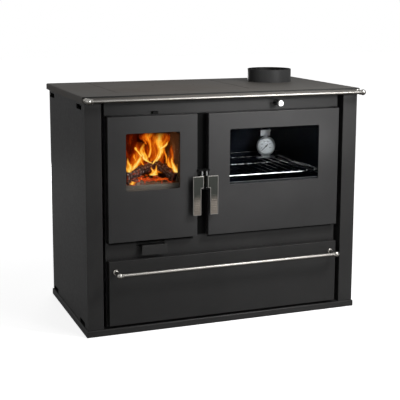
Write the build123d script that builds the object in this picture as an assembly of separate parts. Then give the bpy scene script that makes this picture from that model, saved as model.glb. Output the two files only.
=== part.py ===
from build123d import *
import os

# Wood cookstove: firebox on the left, oven on the right, wood drawer below, flue at the rear right.
# Millimetres. +Z is up and the front looks towards -Y.
# The origin is on the floor, under the middle of the body.

# Body
body_width = 950.0  # across the outsides of the side panels
body_depth = 500.0  # from the column faces to the rear edges of the side panels
hob_top = 768.0  # the cooking surface above the floor
skin = 2.0  # folded casing sheet
plinth_height = 21.0
plinth_lip = 4.0  # how far the plinth stands out all round
plinth_wall = 3.0
plinth_bevel = 2.5

# Side panels, whose front edges fold into the two columns
column_width = 52.0
column_return = 60.0
rear_lip = 20.0
rear_air_gap = 14.0  # between the inner casing and the back panel
vent_length = 65.0  # slots near the four corners of each side panel
vent_height = 16.0
vent_front_inset = 38.0
vent_rear_inset = 12.0
vent_drop = 9.0  # upper slots below the hob's rim

# Hob
hob_rim = 20.0  # height of the rim
hob_rim_width = 10.0
hob_web = 10.0  # thickness inside the rim
hob_overhang = 8.0
hob_rear_overhang = 18.0
hob_corner = 7.0
hob_edge = 4.0
hotplate_left = -344.0
hotplate_width = 464.0
hotplate_depth = 372.0
hotplate_front = 105.0  # behind the column faces
hotplate_thickness = 7.0
hotplate_ledge = 9.0
hotplate_gap = 2.0
hotplate_edge = 1.0
lift_hole_radius = 4.0
lift_hole_depth = 4.0

# Flue collar, for a nominal 150 mm pipe
flue_x = 307.0
flue_depth = 349.0  # behind the column faces
flue_bore = 76.0  # radius
flue_wall = 3.2
flue_height = 46.0  # above the hob
flue_flange = 12.0
flue_flange_thickness = 6.0
flue_gap = 0.3

# Front frame, which the doors close against
frame_setback = 22.0  # behind the column faces
frame_plate = 5.0
side_gap = 14.0  # dark slot between frame and column
mouth_corner = 1.5
frame_lap = 20.0  # the frame's margin behind each door edge
fascia_bottom_gap = 3.0  # above the doors
fascia_setback = 17.0
fascia_top_gap = 3.0  # under the hob's web

# Doors
door_gap = 18.5  # between door edge and column
door_bottom = 302.0
door_height = 400.0
door_proud = 4.6  # the door faces stand in front of the columns
door_depth = 22.0
door_skin = 3.0
door_edge = 1.5
fire_door_width = 298.0
doors_apart = 38.5
window_bottom = 163.0  # above the door's lower edge
window_height = 183.0
fire_window = 180.0
oven_window = 324.0
window_corner = 6.0
glass_thickness = 4.0
glass_lap = 10.0
glass_gap = 0.5
clip_width = 10.0
clip_plate = 2.0
liner_plate = 2.0
liner_inset = 2.0  # liner's rear face inside the pan's rear edge
liner_window_margin = 14.0
seal_width = 10.0
seal_inset = 2.5
seal_corner = 14.0
seal_gap = 0.3
hinge_inset_x = 6.5  # pin axis from the door's edge
hinge_depth = 8.0  # pin axis behind the column faces
hinge_pin = 3.0  # radius
hinge_plate = 2.0
hinge_gap = 0.4
hinge_half_width = 8.0
hinge_pin_reach = 8.0
pin_head = 2.0  # a pin's head is this much larger in radius
pin_head_height = 1.5
pin_clearance = 0.05  # radial running clearance round every pin

# Door handles and latch
latch_pin = 2.75  # radius
latch_pin_apart = 15.6
latch_pin_lead = 7.4  # in front of the door faces
barrel_radius = 6.0
barrel_clearance = 0.5
latch_shift = 2.0  # towards the oven, from the middle between the doors
handle_top = 502.0
handle_height = 127.5
handle_wide_height = 39.0
handle_inner = 7.0  # from the latch's middle
handle_width = 36.5
handle_narrow = 28.0
handle_plate = 5.0
handle_standoff = 15.4  # finger room behind the handle
handle_rim = 2.0
handle_recess = 0.8
handle_corner = 2.0
rib_count = 7
rib_pitch = 8.0
rib_height = 3.0
rib_start = 14.0  # lowest rib above the handle's lower end
nose_width = 5.0
nose_reach = 15.0
nose_height = 14.0
nose_drop = 6.0
bracket_thickness = 4.0
bracket_top_gap = 16.0  # upper bracket above the handle's barrel
bracket_web_gap = 0.5
bracket_web_inset = 1.0  # web behind the door's face
bracket_low_gap = 2.0
bracket_tail = 18.0  # bracket's grip along the door's side
keeper_stem = 4.0
keeper_head = 8.0
keeper_head_depth = 4.0
keeper_height = 26.0
keeper_drop = 2.0
keeper_lead = 4.0  # in front of the column faces

# Firebox
shell_plate = 4.0
shell_floor = 246.0
shell_top = 735.0
shell_depth = 403.0
brick = 28.0
brick_height = 205.0
lining_inset = 8.0  # bricks, log guard and ash pan behind the frame
grate_level = 430.0
grate_shelf_plate = 6.0
grate_lap = 8.0
grate_thickness = 18.0
grate_bars = 9
grate_margin = 14.0
grate_gap = 1.0
ash_hole_margin = 22.0
ash_hole_front = 60.0  # behind the frame
guard_height = 45.0
guard_plate = 6.0
guard_foot = 16.0
baffle_thickness = 12.0
baffle_depth = 250.0
ash_wall = 1.5
ash_height = 60.0
ash_side_gap = 12.0
ash_rear_room = 30.0
ash_pull_width = 90.0
ash_pull_reach = 12.0
ash_pull_drop = 10.0
ash_rail_width = 24.0
ash_rail_plate = 4.0

# Oven
oven_wall = 2.0
oven_depth = 403.0
oven_floor = 340.0
oven_height = 336.0
oven_margin = 17.0  # the frame's margin at the oven mouth's hinge side
rack_level = 481.0  # middle of the rack's crossbars
rack_front = 58.0  # behind the column faces
rack_middle = 265.0
rack_rear = 402.0
rack_bar = 3.0  # radius of the crossbars
rack_side_bar = 3.6  # radius
rack_wire = 2.0  # radius
rack_bite = 1.0  # how far wires sink into the bars they are welded to
rack_wires = 13
rack_overrun = 5.0
rack_stop = 2.4  # radius of the raised bar at the rear
rack_side_gap = 4.0
rack_rise = 15.0  # rear stop bar above the wires
runner_width = 14.0
runner_plate = 2.0
runner_gap = 0.3
runner_front = 10.0  # behind the frame

# Oven thermometer, standing on the rack
thermometer_x = 292.0
thermometer_depth = 342.0
dial_radius = 36.0
case_depth = 12.0
case_rim = 3.0
dial_recess = 6.0
lens_thickness = 1.5
needle_thickness = 0.8
needle_length = 25.0
needle_tail = 9.0
needle_width = 1.6
needle_hub = 3.0
needle_pin = 0.8
needle_angle = 222.0  # degrees from +X, towards the dial's low end
foot_width = 52.0
foot_depth = 22.0
foot_plate = 1.5
dial_above_foot = 42.0
hook_width = 34.0
hook_height = 16.0
hook_neck = 8.0

# Wood drawer
drawer_lift = 9.0  # front panel above the plinth
drawer_height = 212.0
drawer_side_gap = 5.0
drawer_wall = 1.5
drawer_depth = 440.0
drawer_inset = 4.0  # drawer box above the front panel's lower edge
drawer_box_height = 166.0
drawer_mouth_gap = 8.0
runner_lap = 18.0
runner_leg = 34.0
drawer_runner_plate = 3.0

# Stainless rails on the hob and on the drawer
rail_radius = 6.0
rail_wall = 1.2
ball_radius = 10.0
post_radius = 5.0
flange_radius = 8.5
flange_thickness = 3.0
socket_radius = 8.0
socket_length = 13.0
socket_floor = 6.5  # tube's seat from the ball's centre
rail_clearance = 0.05
hob_rail_half = 472.0
hob_rail_standoff = 35.0
hob_rail_drop = 11.5  # below the cooking surface
drawer_rail_half = 383.0
drawer_rail_standoff = 45.5
drawer_rail_drop = 35.0  # below the drawer front's upper edge

# Flue damper, worked by the knob in the fascia
damper_x = 178.5
damper_level = 727.0
damper_rod = 4.0  # radius
damper_clearance = 0.08
bush_radius = 7.0
bush_flange = 10.0
bush_flange_thickness = 2.0
knob_radius = 11.6
knob_length = 16.0
knob_neck = 7.0
knob_front = 24.0  # in front of the column faces
knob_edge = 3.6
divider_level = 712.0
divider_plate = 3.0
divider_front = 130.0
divider_hole = 70.0
damper_size = 180.0
damper_plate = 2.0
damper_gap = 0.3
damper_lug = 26.0
damper_block = 16.0
damper_block_inset = 4.0
guide_end = 10.0  # guides stop short of the block and of the shelf's front
guide_width = 3.5

# Air slides
primary_tab = 84.0
primary_tab_height = 31.0
primary_tab_top = 284.0
primary_tab_inset = 102.5  # its right end, from the fire door's right edge
primary_tab_lead = 0.0  # tab's front plane behind the column faces
primary_neck_inset = 4.0
primary_slot_room = 16.0
primary_slot_above = 12.0
primary_slot_below = 4.0  # under the neck
slide_plate = 2.0
slide_lap = 18.0
slide_end_gap = 2.0
slide_gap = 0.3
guide_height = 4.0
notch_inset = 125.5  # from the fire door's left edge
notch_width = 49.0
notch_height = 9.0
notch_slope_left = 12.0
notch_slope_right = 4.0
notch_cover = 1.0  # slide above the notch
secondary_tab = 18.0
secondary_tab_inset = 3.0  # from the notch's right end
secondary_tab_height = 6.0
secondary_tab_reach = 8.0
secondary_slide_plate = 1.4
secondary_slide_height = 16.0
secondary_slide_margin = 60.0
air_hole = 5.0

# Rear
back_slot_length = 90.0
back_slot_height = 6.0
back_slot_pitch = 14.0
back_slot_rows = 8
back_slot_columns = 5
back_slot_margin = 60.0  # above and below the two rows of slots
screw_shank = 2.0
screw_head = 4.5
screw_head_height = 2.5
screw_length = 6.0
screws_per_side = 4
screw_margin = 60.0

# Worked out from the sizes above
front = -body_depth / 2
rear = body_depth / 2
half = body_width / 2
hob_under = hob_top - hob_rim
web_under = hob_top - hob_web
frame_face = front + frame_setback
frame_back = frame_face + frame_plate
casing = half - column_width - side_gap
casing_inner = casing - skin
casing_rear = rear - skin - rear_air_gap
door_outer = half - column_width - door_gap
door_top = door_bottom + door_height
door_face = front - door_proud
door_back = door_face + door_depth
fire_door_x = (-door_outer, -door_outer + fire_door_width)
oven_door_x = (fire_door_x[1] + doors_apart, door_outer)
latch_x = (fire_door_x[1] + oven_door_x[0]) / 2 + latch_shift
primary_tab_right = fire_door_x[1] - primary_tab_inset
notch_left = fire_door_x[0] + notch_inset
fire_mouth_x = (fire_door_x[0] + frame_lap, fire_door_x[1] - frame_lap)
oven_mouth_x = (oven_door_x[0] + frame_lap, oven_door_x[1] - oven_margin)
fire_mouth_z = (door_bottom + frame_lap, door_top - frame_lap)
oven_mouth_z = (oven_floor, oven_floor + oven_height)
pin_y = door_face - latch_pin_lead
hinge_y = front + hinge_depth
fascia_bottom = door_top + fascia_bottom_gap
fascia_face = front + fascia_setback
drawer_bottom = plinth_height + drawer_lift
drawer_top = drawer_bottom + drawer_height
wire_top = rack_level + rack_bar + 2 * rack_wire - rack_bite


def block(x, y, z):
    """A box between low and high values along each axis."""
    middle = [(low + high) / 2 for low, high in (x, y, z)]
    return Pos(*middle) * Box(x[1] - x[0], y[1] - y[0], z[1] - z[0])


def rod(axis, centre, radius, low, high):
    """A cylinder along an axis; centre gives its two other coordinates in X, Y, Z order."""
    middle, length = (low + high) / 2, high - low
    if axis == "x":
        return Pos(middle, *centre) * Rot(0, 90, 0) * Cylinder(radius, length)
    if axis == "y":
        return Pos(centre[0], middle, centre[1]) * Rot(90, 0, 0) * Cylinder(radius, length)
    return Pos(*centre, middle) * Cylinder(radius, length)


def rounded(x, y, z, radius, axis):
    """A box whose four edges along one axis are rounded."""
    solid = block(x, y, z)
    return fillet(solid.edges().filter_by(axis), radius)


def shell(x, y, z, wall, opening):
    """A box with walls, open towards one side, such as '-y'."""
    spans = [[x[0] + wall, x[1] - wall], [y[0] + wall, y[1] - wall], [z[0] + wall, z[1] - wall]]
    index = "xyz".index(opening[1])
    end = 1 if opening[0] == "+" else 0
    beyond = 2 * wall if end else -2 * wall
    spans[index][end] += beyond
    return block(x, y, z) - block(*spans)


def across(shape):
    """The same shape on the other side of the middle."""
    return mirror(shape, about=Plane.YZ)


# Outer casing


def plinth():
    x = (-half - plinth_lip, half + plinth_lip)
    y = (front - plinth_lip, rear + plinth_lip)
    slab = block(x, y, (0, plinth_height))
    slab = chamfer(slab.faces().sort_by(Axis.Z)[-1].edges(), plinth_bevel)
    inner_x = (x[0] + plinth_wall, x[1] - plinth_wall)
    inner_y = (y[0] + plinth_wall, y[1] - plinth_wall)
    return slab - block(inner_x, inner_y, (-1, plinth_height - plinth_wall))


def side_panel():
    """The left panel: side wall, front column, its return and the rear lip."""
    z = (plinth_height, hob_under)
    outer = (-half, -half + skin)
    wall = block(outer, (front, rear), z)
    column = block((-half, -half + column_width), (front, front + skin), z)
    inner_edge = -half + column_width
    fold = block((inner_edge - skin, inner_edge), (front, front + column_return), z)
    lip = block((-half, -half + rear_lip), (rear - skin, rear), z)
    panel = wall + column + fold + lip
    upper = (hob_under - vent_drop - vent_height, hob_under - vent_drop)
    lower = (plinth_height - 1, plinth_height + vent_height)
    through = (-half - 1, -half + skin + 1)
    ahead = (front + vent_front_inset, front + vent_front_inset + vent_length)
    behind = (rear - vent_rear_inset - vent_length, rear - vent_rear_inset)
    for y in (ahead, behind):
        for height in (upper, lower):
            panel -= block(through, y, height)
    return panel


def screw_places():
    """Heights of the rear screws, and their distance from the middle."""
    low, high = plinth_height + screw_margin, hob_under - screw_margin
    step = (high - low) / (screws_per_side - 1)
    return half - rear_lip / 2, [low + i * step for i in range(screws_per_side)]


def back_panel():
    z = (plinth_height, hob_under)
    panel = block((-half + skin, half - skin), (rear - 2 * skin, rear - skin), z)
    row_pitch = (body_width - 2 * rear_lip) / back_slot_columns
    lowest = plinth_height + back_slot_margin
    highest = hob_under - back_slot_margin - back_slot_rows * back_slot_pitch
    for column in range(back_slot_columns):
        x = (column - (back_slot_columns - 1) / 2) * row_pitch
        for row in range(back_slot_rows):
            for base in (lowest, highest):
                low = base + row * back_slot_pitch
                width = (x - back_slot_length / 2, x + back_slot_length / 2)
                panel -= block(width, (rear - 3 * skin, rear), (low, low + back_slot_height))
    return panel


def rear_screws():
    x, heights = screw_places()
    screws = []
    for side in (-x, x):
        for z in heights:
            head = rod("y", (side, z), screw_head, rear, rear + screw_head_height)
            head = fillet(head.faces().sort_by(Axis.Y)[-1].edges(), screw_head_height / 2)
            shank = rod("y", (side, z), screw_shank, rear + screw_head_height - screw_length, rear + 0.5)
            screws.append(head + shank)
    return screws


def drill_for_screws(shape):
    x, heights = screw_places()
    for side in (-x, x):
        for z in heights:
            shape -= rod("y", (side, z), screw_shank + pin_clearance, rear - 5 * skin, rear + skin)
    return shape


def inner_side():
    """The left wall of the inner casing, from the front frame to its rear wall."""
    return block((-casing, -casing_inner), (frame_back, casing_rear), (plinth_height, web_under))


def inner_back():
    return block((-casing_inner, casing_inner), (casing_rear - skin, casing_rear), (plinth_height, web_under))


def front_frame():
    plate = block((-casing, casing), (frame_face, frame_back), (plinth_height, web_under))
    through = (frame_face - 1, frame_back + 1)
    plate -= rounded(fire_mouth_x, through, fire_mouth_z, mouth_corner, Axis.Y)
    plate -= rounded(oven_mouth_x, through, oven_mouth_z, mouth_corner, Axis.Y)
    plate -= block(drawer_mouth_x, through, drawer_mouth_z)
    plate -= block(primary_slot_x, through, primary_slot_z)
    plate -= rod("y", (damper_x, damper_level), bush_radius + pin_clearance, *through)
    for step in (-1, 0, 1):
        x = notch_left + notch_width / 2 + step * 3 * air_hole
        plate -= rod("y", (x, secondary_z[0] + secondary_slide_height / 2), air_hole, *through)
    return plate


def fascia():
    """The strip above the doors, on two short returns that meet the frame."""
    z = (fascia_bottom, web_under - fascia_top_gap)
    strip = block((-casing, casing), (fascia_face, fascia_face + skin), z)
    for x in ((-casing, -casing + skin), (casing - skin, casing)):
        strip += block(x, (fascia_face, frame_face), z)
    notch_top = fascia_bottom + notch_height
    right = notch_left + notch_width
    corners = [
        (notch_left, fascia_bottom - 1),
        (notch_left + notch_slope_left, notch_top),
        (right - notch_slope_right, notch_top),
        (right, fascia_bottom - 1),
    ]
    outline = Plane.XZ * make_face(Polyline(*corners, close=True))
    strip -= Pos(0, fascia_face + 2 * skin, 0) * extrude(outline, amount=3 * skin)
    return strip - rod("y", (damper_x, damper_level), bush_flange + 1, fascia_face - 1, frame_face)


# Hob


def hob_plate():
    x = (-half - hob_overhang, half + hob_overhang)
    y = (front - hob_overhang, rear + hob_rear_overhang)
    plate = rounded(x, y, (hob_under, hob_top), hob_corner, Axis.Z)
    plate = fillet(plate.faces().sort_by(Axis.Z)[-1].edges(), hob_edge)
    inner_x = (x[0] + hob_rim_width, x[1] - hob_rim_width)
    inner_y = (y[0] + hob_rim_width, y[1] - hob_rim_width)
    plate -= block(inner_x, inner_y, (hob_under - 1, web_under))
    plate -= block(recess_x, recess_y, (hob_top - hotplate_thickness, hob_top + 1))
    hole_x = (recess_x[0] + hotplate_ledge, recess_x[1] - hotplate_ledge)
    hole_y = (recess_y[0] + hotplate_ledge, recess_y[1] - hotplate_ledge)
    plate -= block(hole_x, hole_y, (web_under - 1, hob_top + 1))
    return plate - rod("z", flue_centre, flue_bore + flue_wall + flue_gap, web_under - 1, hob_top + 1)


def hotplate():
    x = (recess_x[0] + hotplate_gap, recess_x[1] - hotplate_gap)
    y = (recess_y[0] + hotplate_gap, recess_y[1] - hotplate_gap)
    plate = block(x, y, (hob_top - hotplate_thickness, hob_top))
    plate = chamfer(plate.faces().sort_by(Axis.Z)[-1].edges(), hotplate_edge)
    for hole_x, hole_y in lift_holes:
        plate -= rod("z", (hole_x, hole_y), lift_hole_radius, hob_top - lift_hole_depth, hob_top + 1)
    return plate


def flue_collar():
    outer = flue_bore + flue_wall
    tube = rod("z", flue_centre, outer, web_under - flue_flange_thickness, hob_top + flue_height)
    flange_z = (web_under - flue_flange_thickness, web_under)
    flange = rod("z", flue_centre, outer + flue_flange, *flange_z)
    collar = tube + flange
    return collar - rod("z", flue_centre, flue_bore, 0, hob_top + flue_height + 1)


def rail_end(x, face, y, z, inward):
    """A flange on the face, a post, and a ball with a socket that the tube enters."""
    flange = rod("y", (x, z), flange_radius, face - flange_thickness, face)
    post = rod("y", (x, z), post_radius, y, face)
    shoulder = (ball_radius**2 - socket_radius**2) ** 0.5
    bore = rail_radius + rail_clearance
    arc = ThreePointArc((-ball_radius, 0), (0, ball_radius), (shoulder, socket_radius))
    rest = Polyline(
        (shoulder, socket_radius),
        (socket_length, socket_radius),
        (socket_length, bore),
        (socket_floor, bore),
        (socket_floor, 0),
        (-ball_radius, 0),
    )
    ball = revolve(Plane.XZ * make_face([arc, *rest.edges()]), Axis.X)
    if inward < 0:
        ball = across(ball)
    return flange + post + Pos(x, y, z) * ball


def rail(half_span, face, standoff, z):
    """The tube and its two ends."""
    y = face - standoff
    ends = [rail_end(-half_span, face, y, z, 1), rail_end(half_span, face, y, z, -1)]
    reach = half_span - socket_floor - rail_clearance
    tube = rod("x", (y, z), rail_radius, -reach, reach)
    tube -= rod("x", (y, z), rail_radius - rail_wall, -reach - 1, reach + 1)
    return [tube, *ends]


# Firebox


def firebox_shell():
    """Floor, two sides and rear wall, open in front and above."""
    x = (fire_mouth_x[0] - shell_plate, fire_mouth_x[1] + shell_plate)
    y = (frame_back, frame_back + shell_depth)
    box = block(x, y, (shell_floor, shell_top))
    inner_y = (frame_back - 1, y[1] - shell_plate)
    return box - block(fire_mouth_x, inner_y, (shell_floor + shell_plate, shell_top + 1))


def grate_shelf():
    """The plate that carries bricks and grate, and the two rails of the ash pan."""
    y = (frame_back, fire_rear)
    plate = block(fire_mouth_x, y, (grate_level - grate_shelf_plate, grate_level))
    plate -= block(ash_hole_x, ash_hole_y, (0, grate_level + 1))
    rail_z = (fire_mouth_z[0] - ash_rail_plate, fire_mouth_z[0])
    left = block((fire_mouth_x[0], fire_mouth_x[0] + ash_rail_width), y, rail_z)
    right = block((fire_mouth_x[1] - ash_rail_width, fire_mouth_x[1]), y, rail_z)
    return [plate, left, right]


def firebricks():
    z = (grate_level, grate_level + brick_height)
    side_y = (frame_back + lining_inset, fire_rear - brick)
    left = block((fire_mouth_x[0], fire_mouth_x[0] + brick), side_y, z)
    right = block((fire_mouth_x[1] - brick, fire_mouth_x[1]), side_y, z)
    back = block(fire_mouth_x, (fire_rear - brick, fire_rear), z)
    return [chamfer(solid.edges().filter_by(Axis.Z), 2) for solid in (left, right, back)]


def fire_grate():
    x = (ash_hole_x[0] - grate_lap, ash_hole_x[1] + grate_lap)
    y = (ash_hole_y[0] - grate_lap, ash_hole_y[1] + grate_lap)
    plate = block(x, y, (grate_level, grate_level + grate_thickness))
    slot_x = (x[0] + grate_margin, x[1] - grate_margin)
    pitch = (y[1] - y[0] - 2 * grate_margin) / (grate_bars + 1)
    for i in range(grate_bars + 1):
        low = y[0] + grate_margin + i * pitch + pitch / 4
        plate -= block(slot_x, (low, low + pitch / 2), (0, grate_level + grate_thickness + 1))
    return plate


def log_guard():
    """An upright plate on a foot, across the front of the fire."""
    y = guard_y
    upright = block(guard_x, (y[0], y[0] + guard_plate), (grate_level, grate_level + guard_height))
    foot = block(guard_x, y, (grate_level, grate_level + guard_plate))
    return fillet(upright.faces().sort_by(Axis.Z)[-1].edges().filter_by(Axis.X), 2) + foot


def smoke_baffle():
    z = (grate_level + brick_height, grate_level + brick_height + baffle_thickness)
    return block(fire_mouth_x, (fire_rear - baffle_depth, fire_rear), z)


def ash_pan():
    x = (fire_mouth_x[0] + ash_side_gap, fire_mouth_x[1] - ash_side_gap)
    y = (frame_back + lining_inset, fire_rear - ash_rear_room)
    z = (fire_mouth_z[0], fire_mouth_z[0] + ash_height)
    pan = shell(x, y, z, ash_wall, "+z")
    middle = (x[0] + x[1]) / 2
    pull_x = (middle - ash_pull_width / 2, middle + ash_pull_width / 2)
    pull_z = (z[1] - ash_pull_drop - ash_wall, z[1] - ash_pull_drop)
    return pan + block(pull_x, (y[0] - ash_pull_reach, y[0]), pull_z)


# Oven


def oven_box():
    """Back, floor, roof and side plates, welded into a box that is open to the front."""
    x = (oven_mouth_x[0] - oven_wall, oven_mouth_x[1] + oven_wall)
    z = (oven_mouth_z[0] - oven_wall, oven_mouth_z[1] + oven_wall)
    back = frame_back + oven_depth
    y = (frame_back, back - oven_wall)
    plates = [block(x, (y[1], back), z)]
    for low in (z[0], oven_mouth_z[1]):
        plates.append(block(x, y, (low, low + oven_wall)))
    for low in (x[0], oven_mouth_x[1]):
        plates.append(block((low, low + oven_wall), y, oven_mouth_z))
    return plates


def rack_runners():
    """Two angles on the oven's side walls, one for each side of the rack."""
    top = rack_level - rack_side_bar - runner_gap
    y = (frame_back + runner_front, frame_back + oven_depth - oven_wall)
    strips = []
    for wall, inward in ((oven_mouth_x[0], 1), (oven_mouth_x[1], -1)):
        shelf = block(sorted((wall, wall + inward * runner_width)), y, (top - runner_plate, top))
        leg = block(sorted((wall, wall + inward * runner_plate)), y, (top - runner_width, top))
        strips.append(shelf + leg)
    return strips


def oven_rack():
    """Crossbars, side bars and thin wires, with a raised stop bar at the rear."""
    inset = rack_side_gap + rack_side_bar
    side = (oven_mouth_x[0] + inset, oven_mouth_x[1] - inset)
    near, far = front + rack_front, front + rack_rear
    wire_level = wire_top - rack_wire
    pitch = (side[1] - side[0]) / (rack_wires + 1)
    rack = []
    for x in side:
        rack.append(rod("y", (x, rack_level), rack_side_bar, near - rack_overrun, far + rack_overrun))
    for y in (near, front + rack_middle, far):
        rack.append(rod("x", (y, rack_level), rack_bar, *side))
    for i in range(rack_wires):
        x = side[0] + (i + 1) * pitch
        rack.append(rod("y", (x, wire_level), rack_wire, near - rack_overrun, far + rack_overrun))
    stop = wire_level + rack_rise
    for x in (side[0] + pitch / 2, side[1] - pitch / 2):
        rack.append(rod("z", (x, far), rack_wire, rack_level, stop))
    rack.append(rod("x", (far, stop), rack_stop, side[0], side[1]))
    return Part() + rack


def thermometer_case():
    """Foot, dial case with its raised rim, and the flat hook above."""
    back, face = thermometer_y, thermometer_y - case_depth
    case = rod("y", (thermometer_x, dial_z), dial_radius, face, back)
    case = fillet(case.faces().sort_by(Axis.Y)[0].edges(), 1.5)
    case -= rod("y", (thermometer_x, dial_z), dial_radius - case_rim, face - 1, face + dial_recess)
    case += rod("y", (thermometer_x, dial_z), needle_pin, needle_y[0] - 0.3, face + dial_recess + 1)
    middle = (face + back) / 2
    foot_y = (middle - foot_depth / 2, middle + foot_depth / 2)
    foot_x = (thermometer_x - foot_width / 2, thermometer_x + foot_width / 2)
    foot = block(foot_x, foot_y, (foot_z, foot_z + foot_plate))
    neck_x = (thermometer_x - hook_neck, thermometer_x + hook_neck)
    stalk = block(neck_x, (back - 2 * foot_plate, back), (foot_z, dial_z - dial_radius / 2))
    hook_z = dial_z + dial_radius + hook_neck
    neck = block(neck_x, (back - foot_plate, back), (dial_z + dial_radius / 2, hook_z + foot_plate))
    hook_x = (thermometer_x - hook_width / 2, thermometer_x + hook_width / 2)
    hook = rounded(hook_x, (back - foot_plate, back), (hook_z, hook_z + hook_height), 2, Axis.Y)
    return case + foot + stalk + neck + hook


def thermometer_lens():
    face = thermometer_y - case_depth
    radius = dial_radius - case_rim - pin_clearance
    return rod("y", (thermometer_x, dial_z), radius, face + 0.5, face + 0.5 + lens_thickness)


def thermometer_needle():
    """A tapered pointer with a short tail, on a hub, at the cold end of the dial."""
    plane = Plane.XZ
    tip, tail = needle_length, -needle_tail
    blunt = needle_width / 4
    corners = [(tail, needle_width), (tip, blunt), (tip, -blunt), (tail, -needle_width)]
    pointer = extrude(plane * make_face(Polyline(*corners, close=True)), amount=needle_thickness)
    hub = rod("y", (0, 0), needle_hub, -needle_thickness, 0)
    needle = Rot(0, -needle_angle, 0) * (pointer + hub)
    needle = Pos(thermometer_x, needle_y[1], dial_z) * needle
    bore = needle_pin + pin_clearance
    return needle - rod("y", (thermometer_x, dial_z), bore, needle_y[0] - 1, needle_y[1] + 1)


# Doors


def window(door_x, width, margin=0.0):
    """The window's spans, grown by a margin."""
    middle = (door_x[0] + door_x[1]) / 2
    low = door_bottom + window_bottom
    x = (middle - width / 2 - margin, middle + width / 2 + margin)
    return x, (low - margin, low + window_height + margin)


def door_panel(door_x, width):
    """A folded pan with a window; its hinge pins enter the top and bottom walls."""
    pan = block(door_x, (door_face, door_back), (door_bottom, door_top))
    pan = fillet(pan.faces().sort_by(Axis.Y)[0].edges(), door_edge)
    inner_x = (door_x[0] + door_skin, door_x[1] - door_skin)
    inner_z = (door_bottom + door_skin, door_top - door_skin)
    pan -= block(inner_x, (door_face + door_skin, door_back + 1), inner_z)
    x, z = window(door_x, width)
    pan -= rounded(x, (door_face - 1, door_back), z, window_corner, Axis.Y)
    return pan - rod("z", (hinge_x(door_x), hinge_y), hinge_pin + pin_clearance, 0, hob_top)


def door_liner(door_x, width):
    """The inner plate that closes the pan's rear and carries the seal."""
    x = (door_x[0] + door_skin, door_x[1] - door_skin)
    z = (door_bottom + door_skin, door_top - door_skin)
    y = (door_back - liner_inset - liner_plate, door_back - liner_inset)
    plate = block(x, y, z)
    hole_x, hole_z = window(door_x, width, liner_window_margin)
    return plate - rounded(hole_x, (y[0] - 1, y[1] + 1), hole_z, window_corner, Axis.Y)


def door_glass(door_x, width):
    x, z = window(door_x, width, glass_lap)
    return block(x, (door_face + door_skin, door_face + door_skin + glass_thickness), z)


def glass_clips(door_x, width):
    """Two stepped strips that hold the glass at its sides."""
    x, z = window(door_x, width, glass_lap)
    seat = door_face + door_skin
    lap = clip_width / 2
    clips = []
    for edge, outward in ((x[0], -1), (x[1], 1)):
        foot_low = edge + outward * glass_gap
        foot_high = foot_low + outward * clip_width
        foot = block(sorted((foot_low, foot_high)), (seat, seat + glass_thickness), z)
        over = sorted((edge - outward * lap, foot_high))
        cap = block(over, (seat + glass_thickness, seat + glass_thickness + clip_plate), z)
        clips.append(foot + cap)
    return clips


def door_seal(door_x):
    """A flattened rope all round, pressed towards the frame."""
    gap = door_skin + seal_inset
    x = (door_x[0] + gap, door_x[1] - gap)
    z = (door_bottom + gap, door_top - gap)
    y = (door_back - liner_inset, frame_face - seal_gap)
    ring = rounded(x, y, z, seal_corner, Axis.Y)
    inner_x = (x[0] + seal_width, x[1] - seal_width)
    inner_z = (z[0] + seal_width, z[1] - seal_width)
    return ring - rounded(inner_x, (y[0] - 1, y[1] + 1), inner_z, seal_corner - seal_width, Axis.Y)


def hinge_x(door_x):
    """The fire door hangs at its left edge, the oven door at its right."""
    return door_x[0] + hinge_inset_x if door_x == fire_door_x else door_x[1] - hinge_inset_x


def hinge_brackets():
    plates = []
    top = door_top + hinge_gap
    bottom = door_bottom - hinge_gap
    for door_x in (fire_door_x, oven_door_x):
        axis_x = hinge_x(door_x)
        x = (axis_x - hinge_half_width, axis_x + hinge_half_width)
        for z in ((top, top + hinge_plate), (bottom - hinge_plate, bottom)):
            plate = block(x, (hinge_y - hinge_half_width, frame_face), z)
            hole = rod("z", (axis_x, hinge_y), hinge_pin + pin_clearance, z[0] - 1, z[1] + 1)
            plates.append(plate - hole)
    return plates


def hinge_pins():
    pins = []
    upper = door_top + hinge_gap + hinge_plate
    lower = door_bottom - hinge_gap - hinge_plate
    for door_x in (fire_door_x, oven_door_x):
        centre = (hinge_x(door_x), hinge_y)
        top = rod("z", centre, hinge_pin, door_top - hinge_pin_reach, upper)
        top += rod("z", centre, hinge_pin + pin_head, upper, upper + pin_head_height)
        low = rod("z", centre, hinge_pin, lower, door_bottom + hinge_pin_reach)
        low += rod("z", centre, hinge_pin + pin_head, lower - pin_head_height, lower)
        pins += [top, low]
    return pins


# Handles: side is -1 for the fire door's and 1 for the oven door's


def latch_centre(side):
    return latch_x + side * latch_pin_apart / 2, pin_y


def latch_bracket(side):
    """Two black ears on the door's side, above and below the handle's barrel."""
    pin_x, _ = latch_centre(side)
    edge = fire_door_x[1] if side < 0 else oven_door_x[0]
    x = sorted((edge, pin_x - side * barrel_radius))
    y = (pin_y - barrel_radius, door_face + bracket_tail)
    upper = handle_top + bracket_top_gap
    lower = handle_top - handle_wide_height - bracket_low_gap - bracket_thickness
    ears = []
    for low in (upper, lower):
        ear = block(x, y, (low, low + bracket_thickness))
        bore = rod("z", (pin_x, pin_y), latch_pin + pin_clearance, low - 1, low + bracket_thickness + 1)
        ears.append(ear - bore)
    ears[0] += block(x, (door_face + bracket_web_inset, y[1]), (handle_top + bracket_web_gap, upper))
    return ears


def latch_pin_rod(side):
    top = handle_top + bracket_top_gap + bracket_thickness
    low = handle_top - handle_wide_height - bracket_low_gap - bracket_thickness
    return rod("z", latch_centre(side), latch_pin, low, top)


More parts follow.
